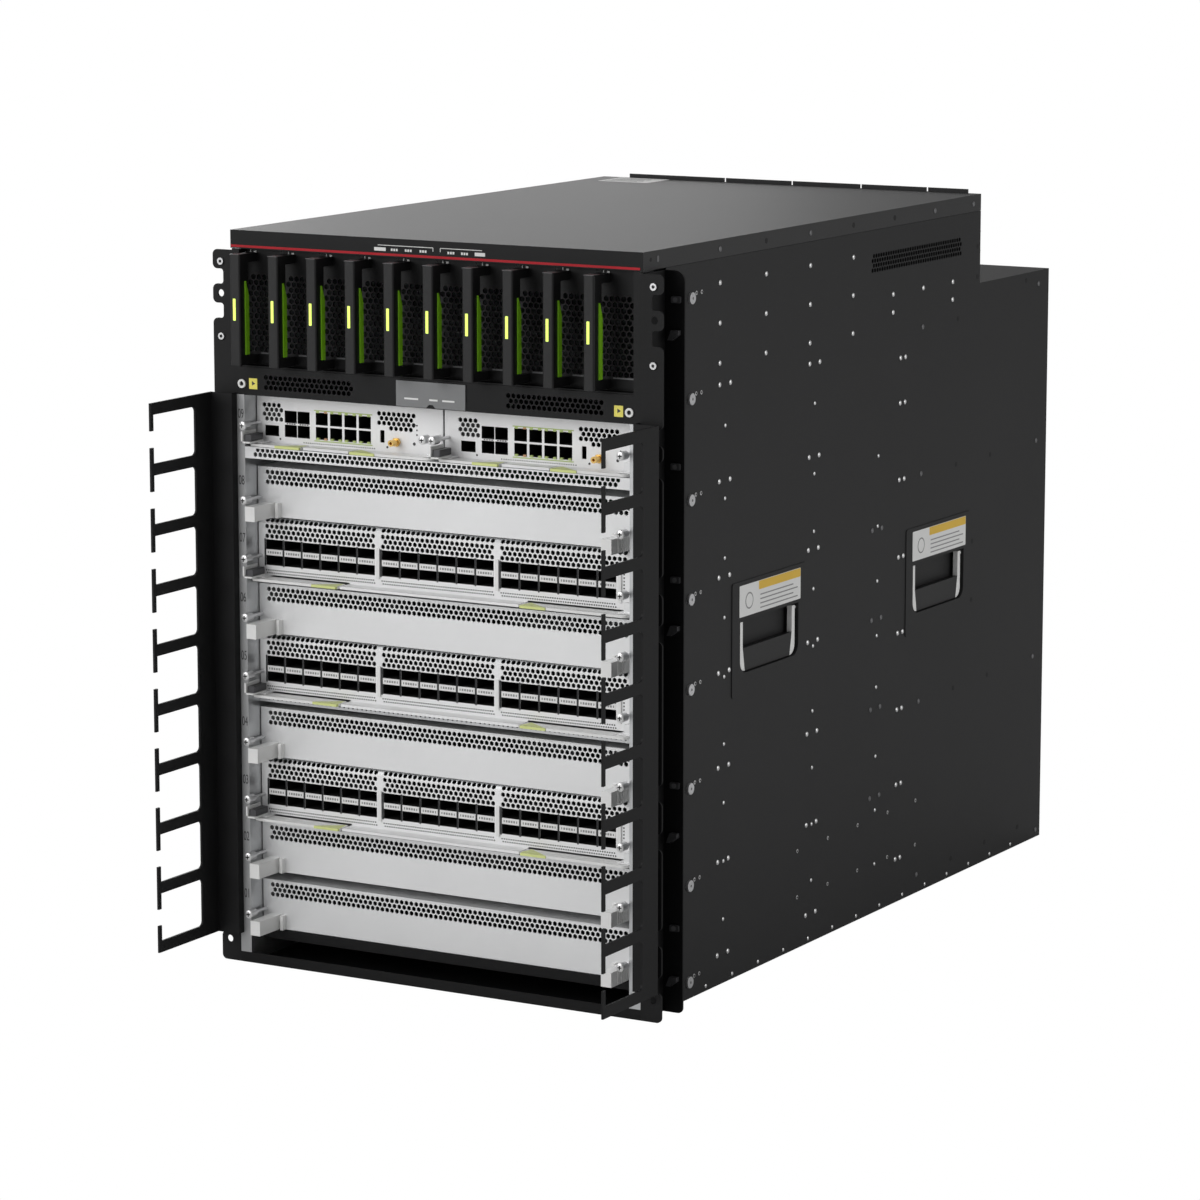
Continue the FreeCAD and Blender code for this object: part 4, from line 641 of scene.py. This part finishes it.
def manager_details(side, start):
    """Jack rims, lenses, small holes, lamps and lever heads of one management module."""
    shape = Shape()
    for column in range(4):
        x = start + NETWORK_START + NETWORK_PITCH * column
        for lens in (508.0, 533.4):
            for offset, mat in ((0.6, JACK_GREEN), (9.4, JACK_GREEN if column else COPPER)):
                across = (x + offset, x + offset + 3.2)
                shape.box(across, (FACE_Y - 0.4, FACE_Y + 2.0), (lens, lens + 1.9), mat)
    for z in (535.2, 506.6):
        shape.box((start + 74.0, start + 138.0), (FACE_Y - 0.7, FACE_Y), (z, z + 0.8), JACK_GREEN)
    for column in range(2):
        for i in range(4):
            x = start + CAGE_START + CAGE_PITCH * column + 2.7 * i
            shape.box((x, x + 1.5), (FACE_Y - 0.4, FACE_Y), (520.5, 521.5), DIGIT)
    small_holes(shape, start + 62.0, 504.2, 2.45, 0.6, 33)
    for i in range(3):
        dome(shape, "y", (start + 187.0, 520.0 + 4.4 * i), 0.9, FACE_Y, -0.4, DIGIT, 10)
    dome(shape, "y", (start + 184.0, 511.5), 1.5, FACE_Y, -0.8, DIGIT, 12)
    dome(shape, "y", (start + 154.5, 506.5), 1.1, FACE_Y, -0.6, DIGIT, 12)
    dome(shape, "y", (start + 35.5, 506.0), 1.0, FACE_Y, -0.6, DIGIT, 12)
    ends = (-LEVER_END_X, -MANAGER_GAP) if start < 0 else (MANAGER_GAP, LEVER_END_X)
    lever_heads(shape, ends[0], ends[1], MANAGER_LEVER_TOP)
    shape.make(f"manager_marks_{side}", f"management_module_{side}")


def screw_recesses():
    """Rounded head with a cross on every captive screw."""
    for number in FILLER_SLOTS + LINE_SLOTS:
        kind = "line_card" if number in LINE_SLOTS else "filler_panel"
        screw_heads(f"screw_heads_{number:02d}", f"{kind}_{number:02d}", (-SCREW_X, SCREW_X),
                    slot_bottom(number) + SCREW_RISE)
    for side, places in (("left", (-SCREW_X, -INNER_SCREW_X)), ("right", (INNER_SCREW_X, SCREW_X))):
        screw_heads(f"manager_screw_heads_{side}", f"management_module_{side}", places, MANAGER_SCREW_Z)


def screw_heads(name, body, places, z):
    """Heads of one card's captive screws, at the front of their knobs."""
    shape = Shape()
    for x in places:
        cross_screw(shape, "y", (x, z), SCREW_HEAD_R, SCREW_FRONT + 0.1, -1.2, RIVET)
    shape.make(name, body)


# Stage

def stage():
    """White floor, soft light and the camera at the photograph's angle."""
    bpy.ops.mesh.primitive_plane_add(size=30)
    floor = bpy.context.object
    floor.name = "floor"
    floor.data.materials.append(paper_white())
    world = bpy.data.worlds.new("studio")
    bpy.context.scene.world = world
    world.use_nodes = True
    tree = world.node_tree
    back = tree.nodes["Background"]
    back.inputs["Color"].default_value = (1, 1, 1, 1)
    path = tree.nodes.new("ShaderNodeLightPath")
    amount = tree.nodes.new("ShaderNodeMapRange")
    amount.inputs["To Min"].default_value = 0.32
    amount.inputs["To Max"].default_value = 1.0
    tree.links.new(path.outputs["Is Camera Ray"], amount.inputs["Value"])
    tree.links.new(amount.outputs["Result"], back.inputs["Strength"])
    for name, place, aim, size, power in LAMPS:
        lamp(name, place, aim, size, power)
    camera = bpy.data.objects.new("camera", bpy.data.cameras.new("camera"))
    camera.data.lens = CAMERA_LENS
    camera.data.sensor_width = 36.0
    camera.location = metres(CAMERA_PLACE)
    camera.rotation_euler = (math.radians(90 - CAMERA_PITCH), 0, math.radians(CAMERA_YAW))
    bpy.context.scene.collection.objects.link(camera)
    bpy.context.scene.camera = camera
    bpy.context.scene.view_settings.view_transform = "Standard"


def lamp(name, place, aim, size, power):
    """Soft square lamp pointed at a place."""
    light = bpy.data.lights.new(name, "AREA")
    light.size = size
    light.energy = power
    obj = bpy.data.objects.new(name, light)
    obj.location = place
    obj.rotation_euler = (Vector(aim) - Vector(place)).to_track_quat("-Z", "Y").to_euler()
    bpy.context.scene.collection.objects.link(obj)


def paper_white():
    """Floor that looks plain white to the camera and lights the object softly."""
    mat = bpy.data.materials.new("floor_white")
    mat.use_nodes = True
    tree = mat.node_tree
    out = tree.nodes["Material Output"]
    shader = tree.nodes["Principled BSDF"]
    shader.inputs["Base Color"].default_value = (0.85, 0.85, 0.85, 1)
    shader.inputs["Roughness"].default_value = 0.9
    plain = tree.nodes.new("ShaderNodeEmission")
    path = tree.nodes.new("ShaderNodeLightPath")
    mix = tree.nodes.new("ShaderNodeMixShader")
    tree.links.new(path.outputs["Is Camera Ray"], mix.inputs["Fac"])
    tree.links.new(shader.outputs["BSDF"], mix.inputs[1])
    tree.links.new(plain.outputs["Emission"], mix.inputs[2])
    tree.links.new(mix.outputs["Shader"], out.inputs["Surface"])
    return mat


def dress():
    """Every detail of the object."""
    paint_frame()
    fascia_details()
    for side, mirror in (("right", False), ("left", True)):
        side_details(side, mirror)
        handle_labels(side, mirror)
        flange_clips(side, mirror)
    numerals()
    air_panel_details()
    floor_label()
    for index in range(POWER_COUNT):
        power_details(index)
    for number in LINE_SLOTS:
        line_card_details(number)
    for side, start in MANAGER_SIDES:
        manager_details(side, start)
    for number in FILLER_SLOTS:
        grip_ribs(number)
    screw_recesses()


def plain(box):
    """A pair of corners as plain numbers."""
    return [list(corner) for corner in box]


dress()
stage()
